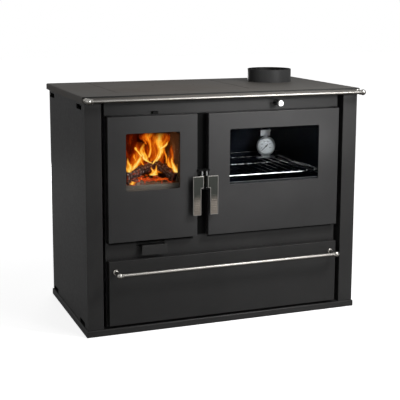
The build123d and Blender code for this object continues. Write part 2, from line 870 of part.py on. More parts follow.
def handle(side):
    """A flag-shaped grip with a raised rim and ribs, a barrel on the pin, and the latch nose."""
    pin_x, _ = latch_centre(side)
    face = door_face - handle_standoff - handle_plate
    y = (face, face + handle_plate)
    low = handle_top - handle_height
    step = handle_top - handle_wide_height
    inner = latch_x + side * handle_inner
    outer = inner + side * handle_width
    narrow = outer - side * handle_narrow

    def flag(margin, depth):
        top = handle_top - margin
        edge = outer - side * margin
        wide = block(sorted((inner + side * margin, edge)), depth, (step + margin, top))
        stem = block(sorted((narrow + side * margin, edge)), depth, (low + margin, top))
        return wide + stem

    grip = flag(0, y)
    grip = fillet(grip.edges().filter_by(Axis.Y).sort_by(Axis.Z)[:2], handle_corner)
    grip = chamfer(grip.faces().sort_by(Axis.Y)[0].outer_wire().edges(), 0.6)
    grip -= flag(handle_rim, (face - 1, face + handle_recess))
    rib_x = sorted((narrow + side * 2 * handle_rim, outer - side * 2 * handle_rim))
    for i in range(rib_count):
        z = low + rib_start + i * rib_pitch
        grip += block(rib_x, (face + 0.1, face + handle_recess + 0.2), (z, z + rib_height))

    barrel_z = (step + barrel_clearance, handle_top)
    barrel = rod("z", (pin_x, pin_y), barrel_radius, *barrel_z)
    web = block(sorted((pin_x + side * barrel_radius, inner)), (y[1] - 1, pin_y), barrel_z)
    nose_top = handle_top - nose_drop
    nose_x = (pin_x - nose_width / 2, pin_x + nose_width / 2)
    nose = block(nose_x, (pin_y, pin_y + nose_reach), (nose_top - nose_height, nose_top))
    nose = fillet(nose.faces().sort_by(Axis.Y)[-1].edges().filter_by(Axis.Z), 2)
    bore = rod("z", (pin_x, pin_y), latch_pin + pin_clearance, step - 1, handle_top + 1)
    return grip + web + barrel + nose - bore


def latch_keeper():
    """The catch on the strip between the doors."""
    z = (handle_top - keeper_height - keeper_drop, handle_top - keeper_drop)
    head_front = front - keeper_lead
    stem_x = (latch_x - keeper_stem / 2, latch_x + keeper_stem / 2)
    head_x = (latch_x - keeper_head / 2, latch_x + keeper_head / 2)
    stem = block(stem_x, (head_front, frame_face), z)
    head = block(head_x, (head_front, head_front + keeper_head_depth), z)
    return stem + fillet(head.edges().filter_by(Axis.Z), 1)


# Wood drawer


def drawer_front():
    pan = block((-door_outer, door_outer), (door_face, door_back), (drawer_bottom, drawer_top))
    pan = fillet(pan.faces().sort_by(Axis.Y)[0].edges(), door_edge)
    inner_x = (-door_outer + skin, door_outer - skin)
    inner_z = (drawer_bottom + skin, drawer_top - skin)
    return pan - block(inner_x, (door_face + skin, door_back + 1), inner_z)


def drawer_box():
    y = (door_face + skin, door_face + skin + drawer_depth)
    return shell(drawer_box_x, y, drawer_box_z, drawer_wall, "+z")


def drawer_runners():
    """Angles along the inner casing, under the drawer box."""
    top = drawer_box_z[0] - runner_gap
    y = (frame_back, casing_rear - skin)
    shelf_x = (-casing_inner, drawer_box_x[0] + runner_lap)
    shelf = block(shelf_x, y, (top - drawer_runner_plate, top))
    leg_x = (-casing_inner, -casing_inner + drawer_runner_plate)
    leg = block(leg_x, y, (top - drawer_runner_plate, top + runner_leg))
    left = shelf + leg
    return [left, across(left)]


# Flue damper


def damper_bush():
    bush = rod("y", (damper_x, damper_level), bush_radius, frame_face, frame_back)
    flange_y = (frame_face - bush_flange_thickness, frame_face)
    bush += rod("y", (damper_x, damper_level), bush_flange, *flange_y)
    bore = damper_rod + damper_clearance
    return bush - rod("y", (damper_x, damper_level), bore, flange_y[0] - 1, frame_back + 1)


def damper_rod_piece():
    return rod("y", (damper_x, damper_level), damper_rod, knob_y[1] - knob_length / 2, block_y[1])


def damper_knob():
    """A round pull with a neck and a small socket in its face."""
    head = rod("y", (damper_x, damper_level), knob_radius, knob_y[0], knob_y[0] + knob_length - 4)
    head = fillet(head.faces().sort_by(Axis.Y)[0].edges(), knob_edge)
    head = fillet(head.faces().sort_by(Axis.Y)[-1].edges(), 2)
    neck = rod("y", (damper_x, damper_level), knob_neck, knob_y[0] + 4, knob_y[1])
    knob = head + neck
    knob -= rod("y", (damper_x, damper_level), damper_rod, knob_y[1] - knob_length / 2, knob_y[1] + 1)
    return knob - rod("y", (damper_x, damper_level), 1.5, knob_y[0] - 1, knob_y[0] + 2)


def flue_divider():
    """The shelf over the oven with the hole that the damper covers, and its two guides."""
    x = (oven_mouth_x[0] - oven_wall, casing_inner)
    y = (front + divider_front, casing_rear - skin)
    shelf = block(x, y, (divider_level, divider_level + divider_plate))
    shelf -= rod("z", flue_centre, divider_hole, 0, hob_top)
    top = divider_level + divider_plate
    guide_z = (top, top + damper_plate + 1)
    left_y = (block_y[1] + guide_end, damper_y[1])
    left_x = damper_x_span[0] - damper_gap
    right_x = damper_x_span[1] + damper_gap
    shelf += block((left_x - guide_width, left_x), left_y, guide_z)
    return shelf + block((right_x, right_x + guide_width), (y[0] + guide_end, damper_y[1]), guide_z)


def damper_plate_piece():
    """A flat slide with a lug and an upright block for the rod's end."""
    low = divider_level + divider_plate + damper_gap
    z = (low, low + damper_plate)
    plate = block(damper_x_span, damper_y, z)
    lug_x = (damper_x - damper_block / 2, damper_x_span[0] + 1)
    plate += block(lug_x, (damper_y[0], damper_y[0] + damper_lug), z)
    upright_x = (damper_x - damper_block / 2, damper_x + damper_block / 2)
    plate += block(upright_x, block_y, (low, damper_level + damper_block / 2))
    return plate - rod("y", (damper_x, damper_level), damper_rod, block_y[0] - 1, block_y[1] + 1)


# Air slides


def primary_air_slide():
    """A plate behind the frame whose neck comes out through the slot and folds down into a tab."""
    y = (frame_back + slide_gap, frame_back + slide_gap + slide_plate)
    plate = block(primary_plate_x, y, primary_plate_z)
    neck = block(primary_neck_x, (primary_face, y[1]), (primary_tab_top - slide_plate, primary_tab_top))
    tab_x = (primary_tab_right - primary_tab, primary_tab_right)
    tab_z = (primary_tab_top - primary_tab_height, primary_tab_top)
    tab = rounded(tab_x, (primary_face, primary_face + slide_plate), tab_z, 1.5, Axis.Y)
    return plate + neck + tab


def secondary_air_slide():
    """A strip between fascia and frame with a small tab in the notch."""
    y = (frame_face - slide_gap - secondary_slide_plate, frame_face - slide_gap)
    x = (notch_left - secondary_slide_margin, notch_left + notch_width + secondary_slide_margin)
    strip = block(x, y, secondary_z)
    tab_z = (fascia_bottom + slide_gap, fascia_bottom + slide_gap + secondary_tab_height)
    tab = block(secondary_tab_x, (y[1] - secondary_tab_reach, y[1]), tab_z)
    stem = block(secondary_tab_x, y, (tab_z[0], secondary_z[0] + 1))
    return strip + tab + stem


def air_slide_guides():
    """Strips above and below each slide."""
    guides = []
    y = (frame_back, frame_back + slide_plate + 2 * slide_gap)
    x = (primary_plate_x[0] - primary_slot_room, primary_plate_x[1])
    above = primary_plate_z[1] + slide_gap
    below = primary_plate_z[0] - slide_gap
    guides.append(block(x, y, (above, above + guide_height)))
    guides.append(block(x, y, (below - guide_height, below)))
    y = (fascia_face + skin, frame_face)
    left = notch_left - secondary_slide_margin - primary_slot_room
    right = notch_left + notch_width + secondary_slide_margin
    above = secondary_z[1] + slide_gap
    guides.append(block((left, right), y, (above, above + guide_height)))
    low = (fascia_bottom, secondary_z[0] - slide_gap)
    guides.append(block((left, notch_left - slide_end_gap), y, low))
    guides.append(block((notch_left + notch_width + slide_end_gap, right), y, low))
    return guides


# Places shared by several pieces
flue_centre = (flue_x, front + flue_depth)
recess_x = (hotplate_left, hotplate_left + hotplate_width)
recess_y = (front + hotplate_front, front + hotplate_front + hotplate_depth)
lift_holes = [
    (hotplate_left + 0.41 * hotplate_width, recess_y[0] + 0.56 * hotplate_depth),
    (hotplate_left + 0.71 * hotplate_width, recess_y[0] + 0.48 * hotplate_depth),
]
fire_rear = frame_back + shell_depth - shell_plate
ash_hole_x = (fire_mouth_x[0] + brick + ash_hole_margin, fire_mouth_x[1] - brick - ash_hole_margin)
ash_hole_y = (frame_back + ash_hole_front, fire_rear - brick - ash_hole_margin)
guard_x = (fire_mouth_x[0] + brick + 1, fire_mouth_x[1] - brick - 1)
guard_y = (frame_back + lining_inset, frame_back + lining_inset + guard_foot)
foot_z = wire_top + runner_gap
dial_z = foot_z + dial_above_foot
thermometer_y = front + thermometer_depth
needle_low = thermometer_y - case_depth + dial_recess - 2.0 - needle_thickness
needle_y = (needle_low, needle_low + needle_thickness)
drawer_box_x = (-door_outer + frame_lap + drawer_side_gap, door_outer - frame_lap - drawer_side_gap)
drawer_box_z = (drawer_bottom + drawer_inset, drawer_bottom + drawer_inset + drawer_box_height)
drawer_mouth_x = (drawer_box_x[0] - drawer_side_gap, drawer_box_x[1] + drawer_side_gap)
drawer_mouth_z = (drawer_box_z[0] - drawer_mouth_gap, drawer_box_z[1] + drawer_mouth_gap)
knob_y = (front - knob_front, front - knob_front + knob_length)
damper_x_span = (flue_x - damper_size / 2, flue_x + damper_size / 2)
damper_y = (flue_centre[1] - damper_size / 2, flue_centre[1] + damper_size / 2)
block_y = (damper_y[0] + damper_block_inset, damper_y[0] + damper_block_inset + damper_block)
primary_face = front + primary_tab_lead
primary_neck_x = (
    primary_tab_right - primary_tab + primary_neck_inset,
    primary_tab_right - primary_neck_inset,
)
primary_slot_x = (primary_neck_x[0] - primary_slot_room, primary_neck_x[1] + slide_end_gap)
primary_slot_z = (
    primary_tab_top - slide_plate - primary_slot_below,
    primary_tab_top + primary_slot_above,
)
primary_plate_x = (primary_slot_x[0] - guide_height, primary_slot_x[1] + primary_slot_room)
primary_plate_z = (primary_slot_z[0] - slide_lap, primary_tab_top + slide_plate)
secondary_low = fascia_bottom + notch_height + notch_cover
secondary_z = (secondary_low, secondary_low + secondary_slide_height)
secondary_tab_right = notch_left + notch_width - secondary_tab_inset
secondary_tab_x = (secondary_tab_right - secondary_tab, secondary_tab_right)
left_panel = side_panel()
left_inner = inner_side()

hob_rail_level = hob_top - hob_rail_drop
drawer_rail_level = drawer_top - drawer_rail_drop

nodes = {
    "plinth": plinth(),
    "side_panel_left": drill_for_screws(left_panel),
    "side_panel_right": drill_for_screws(across(left_panel)),
    "back_panel": drill_for_screws(back_panel()),
    "rear_screws": rear_screws(),
    "inner_side_left": left_inner,
    "inner_side_right": across(left_inner),
    "inner_back": inner_back(),
    "front_frame": front_frame(),
    "upper_fascia": fascia(),
    "hob_plate": hob_plate(),
    "hotplate": hotplate(),
    "flue_collar": flue_collar(),
    "hob_rail": rail(hob_rail_half, front - hob_overhang, hob_rail_standoff, hob_rail_level),
    "firebox_shell": firebox_shell(),
    "grate_shelf": grate_shelf(),
    "firebricks": firebricks(),
    "fire_grate": fire_grate(),
    "log_guard": log_guard(),
    "smoke_baffle": smoke_baffle(),
    "ash_pan": ash_pan(),
    "oven_box": oven_box(),
    "rack_runners": rack_runners(),
    "oven_rack": oven_rack(),
    "thermometer_case": thermometer_case(),
    "thermometer_lens": thermometer_lens(),
    "thermometer_needle": thermometer_needle(),
    "hinge_brackets": hinge_brackets(),
    "hinge_pins": hinge_pins(),
    "latch_keeper": latch_keeper(),
    "drawer_front": drawer_front(),
    "drawer_box": drawer_box(),
    "drawer_rail": rail(drawer_rail_half, door_face, drawer_rail_standoff, drawer_rail_level),
    "drawer_runners": drawer_runners(),
    "damper_bush": damper_bush(),
    "damper_rod": damper_rod_piece(),
    "damper_knob": damper_knob(),
    "damper_plate": damper_plate_piece(),
    "flue_divider": flue_divider(),
    "primary_air_slide": primary_air_slide(),
    "secondary_air_slide": secondary_air_slide(),
    "air_slide_guides": air_slide_guides(),
}
for name, door_x, width, side in (
    ("fire", fire_door_x, fire_window, -1),
    ("oven", oven_door_x, oven_window, 1),
):
    nodes[f"{name}_door_panel"] = door_panel(door_x, width)
    nodes[f"{name}_door_liner"] = door_liner(door_x, width)
    nodes[f"{name}_door_glass"] = door_glass(door_x, width)
    nodes[f"{name}_glass_clips"] = glass_clips(door_x, width)
    nodes[f"{name}_door_seal"] = door_seal(door_x)
    nodes[f"{name}_latch_bracket"] = latch_bracket(side)
    nodes[f"{name}_latch_pin"] = latch_pin_rod(side)
    nodes[f"{name}_handle"] = handle(side)

os.makedirs("parts", exist_ok=True)
for name, shape in nodes.items():
    solids = shape if isinstance(shape, list) else [shape]
    export_step(Compound(children=solids), f"parts/{name}.step")
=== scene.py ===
import bpy
import bmesh
import math
import random
from mathutils import Matrix, Vector, noise


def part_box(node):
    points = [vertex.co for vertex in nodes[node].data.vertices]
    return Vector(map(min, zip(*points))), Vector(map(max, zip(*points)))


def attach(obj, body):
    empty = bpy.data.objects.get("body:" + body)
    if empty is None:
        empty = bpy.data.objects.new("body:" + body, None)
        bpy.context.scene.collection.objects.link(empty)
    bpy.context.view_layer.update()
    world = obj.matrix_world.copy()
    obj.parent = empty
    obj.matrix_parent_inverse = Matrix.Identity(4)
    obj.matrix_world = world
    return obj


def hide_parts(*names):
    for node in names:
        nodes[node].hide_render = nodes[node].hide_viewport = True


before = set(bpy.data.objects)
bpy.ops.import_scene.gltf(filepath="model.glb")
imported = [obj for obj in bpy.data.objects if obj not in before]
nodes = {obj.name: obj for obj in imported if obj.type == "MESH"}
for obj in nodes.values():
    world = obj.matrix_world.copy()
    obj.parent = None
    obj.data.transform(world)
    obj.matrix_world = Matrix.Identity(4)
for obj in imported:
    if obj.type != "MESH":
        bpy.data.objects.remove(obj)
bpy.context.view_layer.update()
scene = bpy.context.scene
scene.view_settings.view_transform = "Standard"
mm = 0.001
white = (1, 1, 1, 1)

# small tools for shaders; each finds its tree from the node or socket it is given


def shaderNode(owner, kind, values=None, **settings):
    tree = owner.id_data
    made = tree.nodes.new("ShaderNode" + kind)
    for key, value in settings.items():
        setattr(made, key, value)
    for key, value in (values or {}).items():
        if isinstance(value, bpy.types.NodeSocket):
            tree.links.new(value, made.inputs[key])
        else:
            made.inputs[key].default_value = value
    return made


def newFinish(name, color, rough, metal=0.0, gloss=0.5, **extra):
    # a finish is called by its name from here on
    material = bpy.data.materials.new(name)
    material.use_nodes = True
    shader = material.node_tree.nodes["Principled BSDF"]
    extra.update(Base_Color=(*color, 1), Roughness=rough, Metallic=metal, Specular_IOR_Level=gloss)
    for key, value in extra.items():
        shader.inputs[key.replace("_", " ")].default_value = value
    return shader


def feed(shader, **sources):
    for key, source in sources.items():
        shader.id_data.links.new(source, shader.inputs[key.replace("_", " ")])


def objectPoint(owner, stretch=(1, 1, 1)):
    where = shaderNode(owner, "TexCoord").outputs["Object"]
    return shaderNode(where, "Mapping", {"Vector": where, "Scale": stretch}).outputs["Vector"]


def noiseValue(point, scale, detail=2.0, rough=0.5, distortion=0.0):
    values = {"Vector": point, "Scale": scale, "Detail": detail, "Roughness": rough, "Distortion": distortion}
    return shaderNode(point, "TexNoise", values).outputs["Fac"]


def cellDistance(point, scale):
    cells = shaderNode(point, "TexVoronoi", {"Vector": point, "Scale": scale}, feature="F1")
    return cells.outputs["Distance"]


def spread(value, low, high, toLow=0.0, toHigh=1.0, smooth=False):
    values = {"Value": value, "From Min": low, "From Max": high, "To Min": toLow, "To Max": toHigh}
    kind = "SMOOTHSTEP" if smooth else "LINEAR"
    return shaderNode(value, "MapRange", values, interpolation_type=kind).outputs["Result"]


def mixColor(share, *colors):
    first, second = ((*color, 1) if isinstance(color, tuple) else color for color in colors)
    return shaderNode(share, "Mix", {0: share, 6: first, 7: second}, data_type="RGBA").outputs[2]


def calc(operation, first, second=0.0):
    socket = first if isinstance(first, bpy.types.NodeSocket) else second
    return shaderNode(socket, "Math", {0: first, 1: second}, operation=operation).outputs[0]


def times(first, second):
    return calc("MULTIPLY", first, second)


def plus(first, second):
    return calc("ADD", first, second)


def minus(first, second):
    return calc("SUBTRACT", first, second)


def bumped(height, strength, depth, under=None):
    values = {"Height": height, "Strength": strength, "Distance": depth}
    if under is not None:
        values["Normal"] = under
    return shaderNode(height, "Bump", values).outputs["Normal"]


def softEdge(owner, radius):
    return shaderNode(owner, "Bevel", {"Radius": radius}, samples=6).outputs["Normal"]


def axisOf(vector, axis):
    return shaderNode(vector, "SeparateXYZ", {0: vector}).outputs[axis]


def measured(operation, first, second=(0, 0, 0)):
    return shaderNode(first, "VectorMath", {0: first, 1: second}, operation=operation).outputs["Value"]


paint = {
    "color": (0.028, 0.0275, 0.0273),
    "paler": (0.037, 0.0362, 0.0357),
    "edge": (0.06, 0.058, 0.057),
    "rough": (0.36, 0.42),
    "gloss": 0.2,
    "grain": 1500,
    "grainDepth": 0.03 * mm,
    "edgeRadius": 1.1 * mm,
    # the next four set the colour, roughness and soft lower and upper reach of the painted shade bands
    "blackening": (0.002, 0.002, 0.002),
    "shadeRough": 0.95,
    "shadeBelow": 5 * mm,
    "shadeAbove": 4 * mm,
}


def makePaint(name, shadeBands=(), **changes):
    # powder-coated sheet, a little paler where edges are rubbed, partly wear and partly a painted highlight;
    # each band of painted shade is given as left, right, bottom, top
    values = dict(paint, **changes)
    shader = newFinish(name, values["color"], 0.5, gloss=values["gloss"])
    point = objectPoint(shader)
    cloud = noiseValue(point, 5, 4, 0.6)
    mottle = noiseValue(point, 90, 3, 0.6)
    color = mixColor(spread(cloud, 0.3, 0.7), values["color"], values["paler"])
    rounded = softEdge(shader, values["edgeRadius"])
    flat = shaderNode(shader, "NewGeometry").outputs["Normal"]
    turned = measured("DOT_PRODUCT", rounded, flat)
    # paler edges: rubbed wear, and a painted highlight where the edge colour is pale
    rubbedAndHighlit = times(spread(turned, 0.985, 0.86), spread(mottle, 0.35, 0.62))
    color = mixColor(rubbedAndHighlit, color, values["edge"])
    rough = spread(mottle, 0.3, 0.7, *values["rough"])
    # painted shade: inside each band the paint goes near black and matt, where the frame lies in shadow
    if shadeBands:
        x, z = axisOf(point, "X"), axisOf(point, "Z")
        paintedShade = 0.0
        for left, right, bottom, top in shadeBands:
            inside = times(calc("GREATER_THAN", x, left), calc("LESS_THAN", x, right))
            rising = spread(z, bottom - values["shadeBelow"], bottom + values["shadeAbove"], smooth=True)
            inside = times(times(inside, rising), calc("LESS_THAN", z, top))
            paintedShade = calc("MAXIMUM", paintedShade, inside)
        color = mixColor(paintedShade, color, values["blackening"])
        rough = calc("MAXIMUM", rough, times(paintedShade, values["shadeRough"]))
    grain = noiseValue(point, values["grain"], 2, 0.5)
    feed(shader, Base_Color=color, Roughness=rough, Normal=bumped(grain, 0.3, values["grainDepth"], rounded))


# pale edges for the drawer and tab: wear and a painted highlight
bareEdgeAndHighlight = (0.17, 0.165, 0.155)
# painted shade on the front frame: the gap between the doors and a shadow line under each door
frameShadowBands = [(-0.1065, -0.068, 0.300, 0.702), (-0.398, -0.112, 0.289, 0.303), (-0.062, 0.398, 0.291, 0.303)]
makePaint("stovePaint")
# the doors wear a paler copy of the stove paint, a painted highlight; the drawer wears a darker copy, painted
# shade
makePaint("doorPaintLit", color=(0.033, 0.0324, 0.0326), paler=(0.042, 0.0413, 0.0415))
makePaint("drawerPaintShaded", color=(0.024, 0.0236, 0.0234), paler=(0.031, 0.0304, 0.03), edge=bareEdgeAndHighlight)
makePaint("tabPaint", edge=bareEdgeAndHighlight)
makePaint("collarPaint", color=(0.034, 0.034, 0.034), paler=(0.042, 0.042, 0.042), gloss=0.05)
makePaint("framePaint", frameShadowBands)
makePaint("hardwareBlack", color=(0.005, 0.005, 0.005), paler=(0.008, 0.008, 0.008),
          edge=(0.02, 0.02, 0.02), rough=(0.45, 0.55), gloss=0.1)

hobPlate = {
    "dark": (0.078, 0.0735, 0.066),
    "pale": (0.112, 0.104, 0.094),
    "heat": (0.099, 0.075, 0.056),
    "heatAt": (-0.19, 0.02, 0.768),
    "heatReach": 0.42,
    "stroke": (0.13, 0.122, 0.112),
    "edgeShade": (0.012, 0.012, 0.011),  # painted shade on the rounded front edge
    "edgeShadeFrom": (-0.2535, 0.7630),
    "edgeShadeFade": 0.5 * mm,
    "rough": (0.5, 0.6),
    "gloss": 0.3,
}


def makeHobMetal():
    shader = newFinish("hobMetal", hobPlate["dark"], 0.5, 0.15, gloss=hobPlate["gloss"])
    point = objectPoint(shader)
    cloud = noiseValue(point, 7, 6, 0.62)
    strokes = noiseValue(objectPoint(shader, (6, 900, 900)), 1.0, 3, 0.6)
    color = mixColor(spread(cloud, 0.32, 0.7), hobPlate["dark"], hobPlate["pale"])
    warmed = spread(measured("DISTANCE", point, hobPlate["heatAt"]), hobPlate["heatReach"], 0.05, 0, 0.85)
    color = mixColor(times(warmed, spread(cloud, 0.25, 0.6, 0.5, 1)), color, hobPlate["heat"])
    color = mixColor(spread(strokes, 0.35, 0.65, 0, 0.25), color, hobPlate["stroke"])
    # darken the rounded front edge: painted shade
    (front, above), fade = hobPlate["edgeShadeFrom"], hobPlate["edgeShadeFade"]
    frontEdge = spread(axisOf(point, "Y"), front, front - fade)
    topEdge = spread(axisOf(point, "Z"), above, above + fade)
    feed(shader, Base_Color=mixColor(times(frontEdge, topEdge), color, hobPlate["edgeShade"]),
         Roughness=spread(cloud, 0.3, 0.7, *hobPlate["rough"]),
         Normal=bumped(strokes, 0.2, 0.1 * mm, softEdge(shader, 0.8 * mm)))


makeHobMetal()


def makeMetal(name, color, rough, brush, depth=0.04, dirt=0.25, under=None):
    # brush is the stretch that turns noise into fine lines; under is a painted shade colour for what faces
    # down
    shader = newFinish(name, color, rough, 1.0)
    lines = noiseValue(objectPoint(shader, brush), 1.0, 3, 0.6)
    cloud = noiseValue(objectPoint(shader), 35, 4, 0.6)
    shade = mixColor(spread(cloud, 0.45, 0.75, 0, dirt), color, tuple(c * 0.6 for c in color))
    if under:
        facing = axisOf(shaderNode(shader, "NewGeometry").outputs["Normal"], "Z")
        shade = mixColor(spread(facing, 0.15, -0.45, smooth=True), shade, under)
    feed(shader, Base_Color=shade, Roughness=spread(lines, 0.3, 0.7, rough * 0.8, rough * 1.3),
         Normal=bumped(lines, 0.3, depth * mm))


along = (25, 2200, 2200)
# painted shade for the undersides of the rails
shaded = (0.05, 0.045, 0.04)
# one rail steel in three copies: the darker one on the hob rail is painted shade, the paler one on the ball
# ends a painted highlight
makeMetal("railSteel", (0.38, 0.365, 0.34), 0.35, along, dirt=0.08, under=shaded)
makeMetal("railEndSteel", (0.62, 0.60, 0.56), 0.24, along, dirt=0.3, under=(0.08, 0.07, 0.06))
makeMetal("hobRailSteelShaded", (0.27, 0.26, 0.242), 0.42, along, dirt=0.08, under=shaded)
makeMetal("pinSteel", (0.74, 0.74, 0.73), 0.16, (600, 600, 40), 0.02, 0.12)
makeMetal("rimSteel", (0.25, 0.24, 0.225), 0.38, (1400, 1400, 60), 0.04, 0.35)
makeMetal("sheetSteel", (0.36, 0.36, 0.365), 0.42, (18, 500, 500), 0.03, 0.5)
makeMetal("rodSteel", (0.4, 0.4, 0.4), 0.3, (700, 30, 700))
makeMetal("rackChrome", (0.75, 0.75, 0.74), 0.14, (400, 400, 400), 0.02, 0.2)
makeMetal("brassCatch", (0.42, 0.31, 0.16), 0.35, (900, 900, 60), 0.03, 0.4)
makeMetal("gaugeSteel", (0.62, 0.63, 0.63), 0.34, (900, 900, 900), 0.02, 0.2)

recess = {
    "upper": (0.042, 0.045, 0.04),
    "lower": (0.21, 0.185, 0.16),
    "line": (0.03, 0.03, 0.028),
    "from": 0.452,
    "to": 0.415,
}


def makeRecessSteel():
    # the sunk face of a handle, darker above and paler below; the dark upper colour is painted shade on the
    # barrel and web in the gap between the doors
    shader = newFinish("recessSteel", recess["upper"], 0.5, 1.0)
    lines = noiseValue(objectPoint(shader, (1500, 1500, 50)), 1.0, 3, 0.6)
    cloud = noiseValue(objectPoint(shader), 60, 3, 0.6)
    height = plus(axisOf(objectPoint(shader), "Z"), times(cloud, 0.012))
    lowered = spread(height, recess["from"], recess["to"], smooth=True)
    color = mixColor(lowered, recess["upper"], recess["lower"])
    color = mixColor(spread(lines, 0.35, 0.7, 0, 0.35), color, recess["line"])
    feed(shader, Base_Color=color, Normal=bumped(lines, 0.35, 0.05 * mm))


makeRecessSteel()


def makeCastIron(name, color, depth, rough):
    shader = newFinish(name, color, rough, gloss=0.3)
    point = objectPoint(shader)
    coarse = noiseValue(point, 260, 5, 0.65)
    cloud = noiseValue(point, 14, 4, 0.6)
    rusty = (color[0] * 2.0, color[1] * 1.3, color[2] * 0.9)
    feed(shader, Base_Color=mixColor(spread(cloud, 0.5, 0.75, 0, 0.6), color, rusty),
         Roughness=spread(coarse, 0.3, 0.7, rough - 0.08, rough + 0.08),
         Normal=bumped(coarse, 0.6, depth * mm, softEdge(shader, 1.5 * mm)))


makeCastIron("castIron", (0.03, 0.027, 0.024), 0.6, 0.68)
makeCastIron("ashyIron", (0.065, 0.062, 0.057), 0.6, 0.85)
makeCastIron("ironSlide", (0.05, 0.046, 0.042), 0.4, 0.6)

enamel = {
    "color": (0.005, 0.0065, 0.010),
    "paler": (0.009, 0.0115, 0.018),
    "speck": (0.03, 0.033, 0.04),
    "rough": (0.55, 0.65),
    "gloss": 0.02,
}


def makeEnamel():
    shader = newFinish("ovenEnamel", enamel["color"], 0.45, gloss=enamel["gloss"])
    point = objectPoint(shader)
    cloud = noiseValue(point, 12, 3, 0.5)
    specks = cellDistance(point, 160)
    color = mixColor(spread(cloud, 0.3, 0.7), enamel["color"], enamel["paler"])
    color = mixColor(spread(specks, 0.14, 0.06, 0, 0.5), color, enamel["speck"])
    feed(shader, Base_Color=color, Roughness=spread(cloud, 0.3, 0.7, *enamel["rough"]))


makeEnamel()


def makeBrick(name, clay, fleck, fleckScale, blackening):
    # blackening gives the heights between which the face goes black with soot
    shader = newFinish(name, clay, 0.95, gloss=0.1)
    point = objectPoint(shader)
    grain = noiseValue(point, 240, 6, 0.7)
    patch = noiseValue(point, 9, 5, 0.65)
    color = mixColor(spread(cellDistance(point, fleckScale), 0.1, 0.5), fleck, clay)
    color = mixColor(spread(grain, 0.35, 0.7, 0, 0.5), color, tuple(c * 0.55 for c in clay))
    rising = spread(axisOf(point, "Z"), *blackening, 0.35, 0.8)
    black = calc("MINIMUM", plus(rising, spread(patch, 0.42, 0.62, 0, 0.5)), 0.95)
    color = mixColor(black, color, (0.022, 0.013, 0.009))
    feed(shader, Base_Color=color, Normal=bumped(grain, 0.7, 1.2 * mm))


makeBrick("fireClay", (0.30, 0.22, 0.15), (0.40, 0.33, 0.25), 210, (0.38, 0.50))
makeBrick("pressedBoard", (0.32, 0.27, 0.2), (0.45, 0.38, 0.25), 130, (0.60, 0.66))

rope = {"light": (0.24, 0.235, 0.225), "dark": (0.05, 0.048, 0.045), "twist": (1.0, 60.0, 1.0)}


def makeRope():
    # yarns wound round the seal; the UV map runs along it
    shader = newFinish("ropeSeal", rope["light"], 0.9, Sheen_Weight=0.4, Sheen_Roughness=0.5,
                                       gloss=0.2)
    uv = shaderNode(shader, "TexCoord").outputs["UV"]
    laid = shaderNode(shader, "Mapping", {"Vector": uv, "Scale": rope["twist"]}).outputs["Vector"]
    values = {"Vector": laid, "Scale": 2.0, "Distortion": 0.8, "Detail": 2.0, "Detail Scale": 2.0}
    wave = shaderNode(shader, "TexWave", values, wave_type="BANDS", bands_direction="DIAGONAL")
    yarns = wave.outputs["Fac"]
    fibre = noiseValue(objectPoint(shader), 1800, 3, 0.7)
    shade = times(yarns, spread(fibre, 0.25, 0.7, 0.6, 1))
    feed(shader, Base_Color=mixColor(shade, rope["dark"], rope["light"]),
         Normal=bumped(plus(yarns, times(fibre, 0.3)), 0.7, 0.5 * mm))


makeRope()


def makeGlass(name, tint, ior, smear):
    # lamps pass straight through, so what is behind the glass stays lit
    shader = newFinish(name, tint, 0.0, Transmission_Weight=1.0, IOR=ior)
    film = noiseValue(objectPoint(shader), 16, 5, 0.6)
    feed(shader, Base_Color=mixColor(spread(film, 0.4, 0.75, 0, smear), tint, (0.7, 0.66, 0.6)))
    clear = shaderNode(shader, "BsdfTransparent", {"Color": (*tint, 1)})
    fromLamp = shaderNode(shader, "LightPath").outputs["Is Shadow Ray"]
    both = shaderNode(shader, "MixShader", {0: fromLamp, 1: shader.outputs[0], 2: clear.outputs[0]})
    feed(shader.id_data.nodes["Material Output"], Surface=both.outputs[0])


makeGlass("fireGlass", (0.98, 0.96, 0.93), 1.03, 0.15)
makeGlass("ovenGlass", (0.93, 0.95, 0.97), 1.03, 0.05)
makeGlass("lensGlass", (0.99, 0.99, 0.99), 1.1, 0.0)


def makeSpeckled(name, color, speck, scale, rough):
    shader = newFinish(name, color, rough, gloss=0.2)
    grain = noiseValue(objectPoint(shader), scale, 2)
    feed(shader, Base_Color=mixColor(spread(grain, 0.35, 0.75, 0, 0.5), color, speck),
         Roughness=spread(grain, 0.3, 0.7, rough - 0.06, rough + 0.06))


makeSpeckled("dialWhite", (0.80, 0.81, 0.80), (0.66, 0.66, 0.64), 900, 0.45)
makeSpeckled("dialInk", (0.01, 0.01, 0.012), (0.02, 0.02, 0.022), 1200, 0.5)
makeSpeckled("stripGrey", (0.042, 0.042, 0.044), (0.07, 0.07, 0.07), 900, 0.5)
makeSpeckled("grooveDark", (0.006, 0.006, 0.007), (0.012, 0.012, 0.012), 900, 0.6)
makeSpeckled("ashGrey", (0.075, 0.072, 0.067), (0.15, 0.143, 0.134), 160, 0.95)

# how warm each color is, from a dull red to a pale yellow
heatColors = (
    (0.0, (0.07, 0.004, 0.0)), (0.25, (0.40, 0.035, 0.001)), (0.5, (0.86, 0.19, 0.006)),
    (0.72, (1.0, 0.44, 0.03)), (0.88, (1.0, 0.70, 0.14)), (1.0, (1.0, 0.84, 0.36)),
)


def heatRamp(heat):
    ramp = shaderNode(heat, "ValToRGB", {0: heat})
    stops = ramp.color_ramp.elements
    for place, color in heatColors[1:-1]:
        stops.new(place)
    for stop, (place, color) in zip(stops, heatColors):
        stop.position = place
        stop.color = (*color, 1)
    return ramp.outputs[0]


flame = {
    "strength": 1.0,
    "edge": (0.1, 0.75),
    "sway": (60, 60, 20),
    "swayBy": 0.55,
    "licks": (120, 120, 30),
    "torn": 0.85,
    "cooling": -0.22,
}


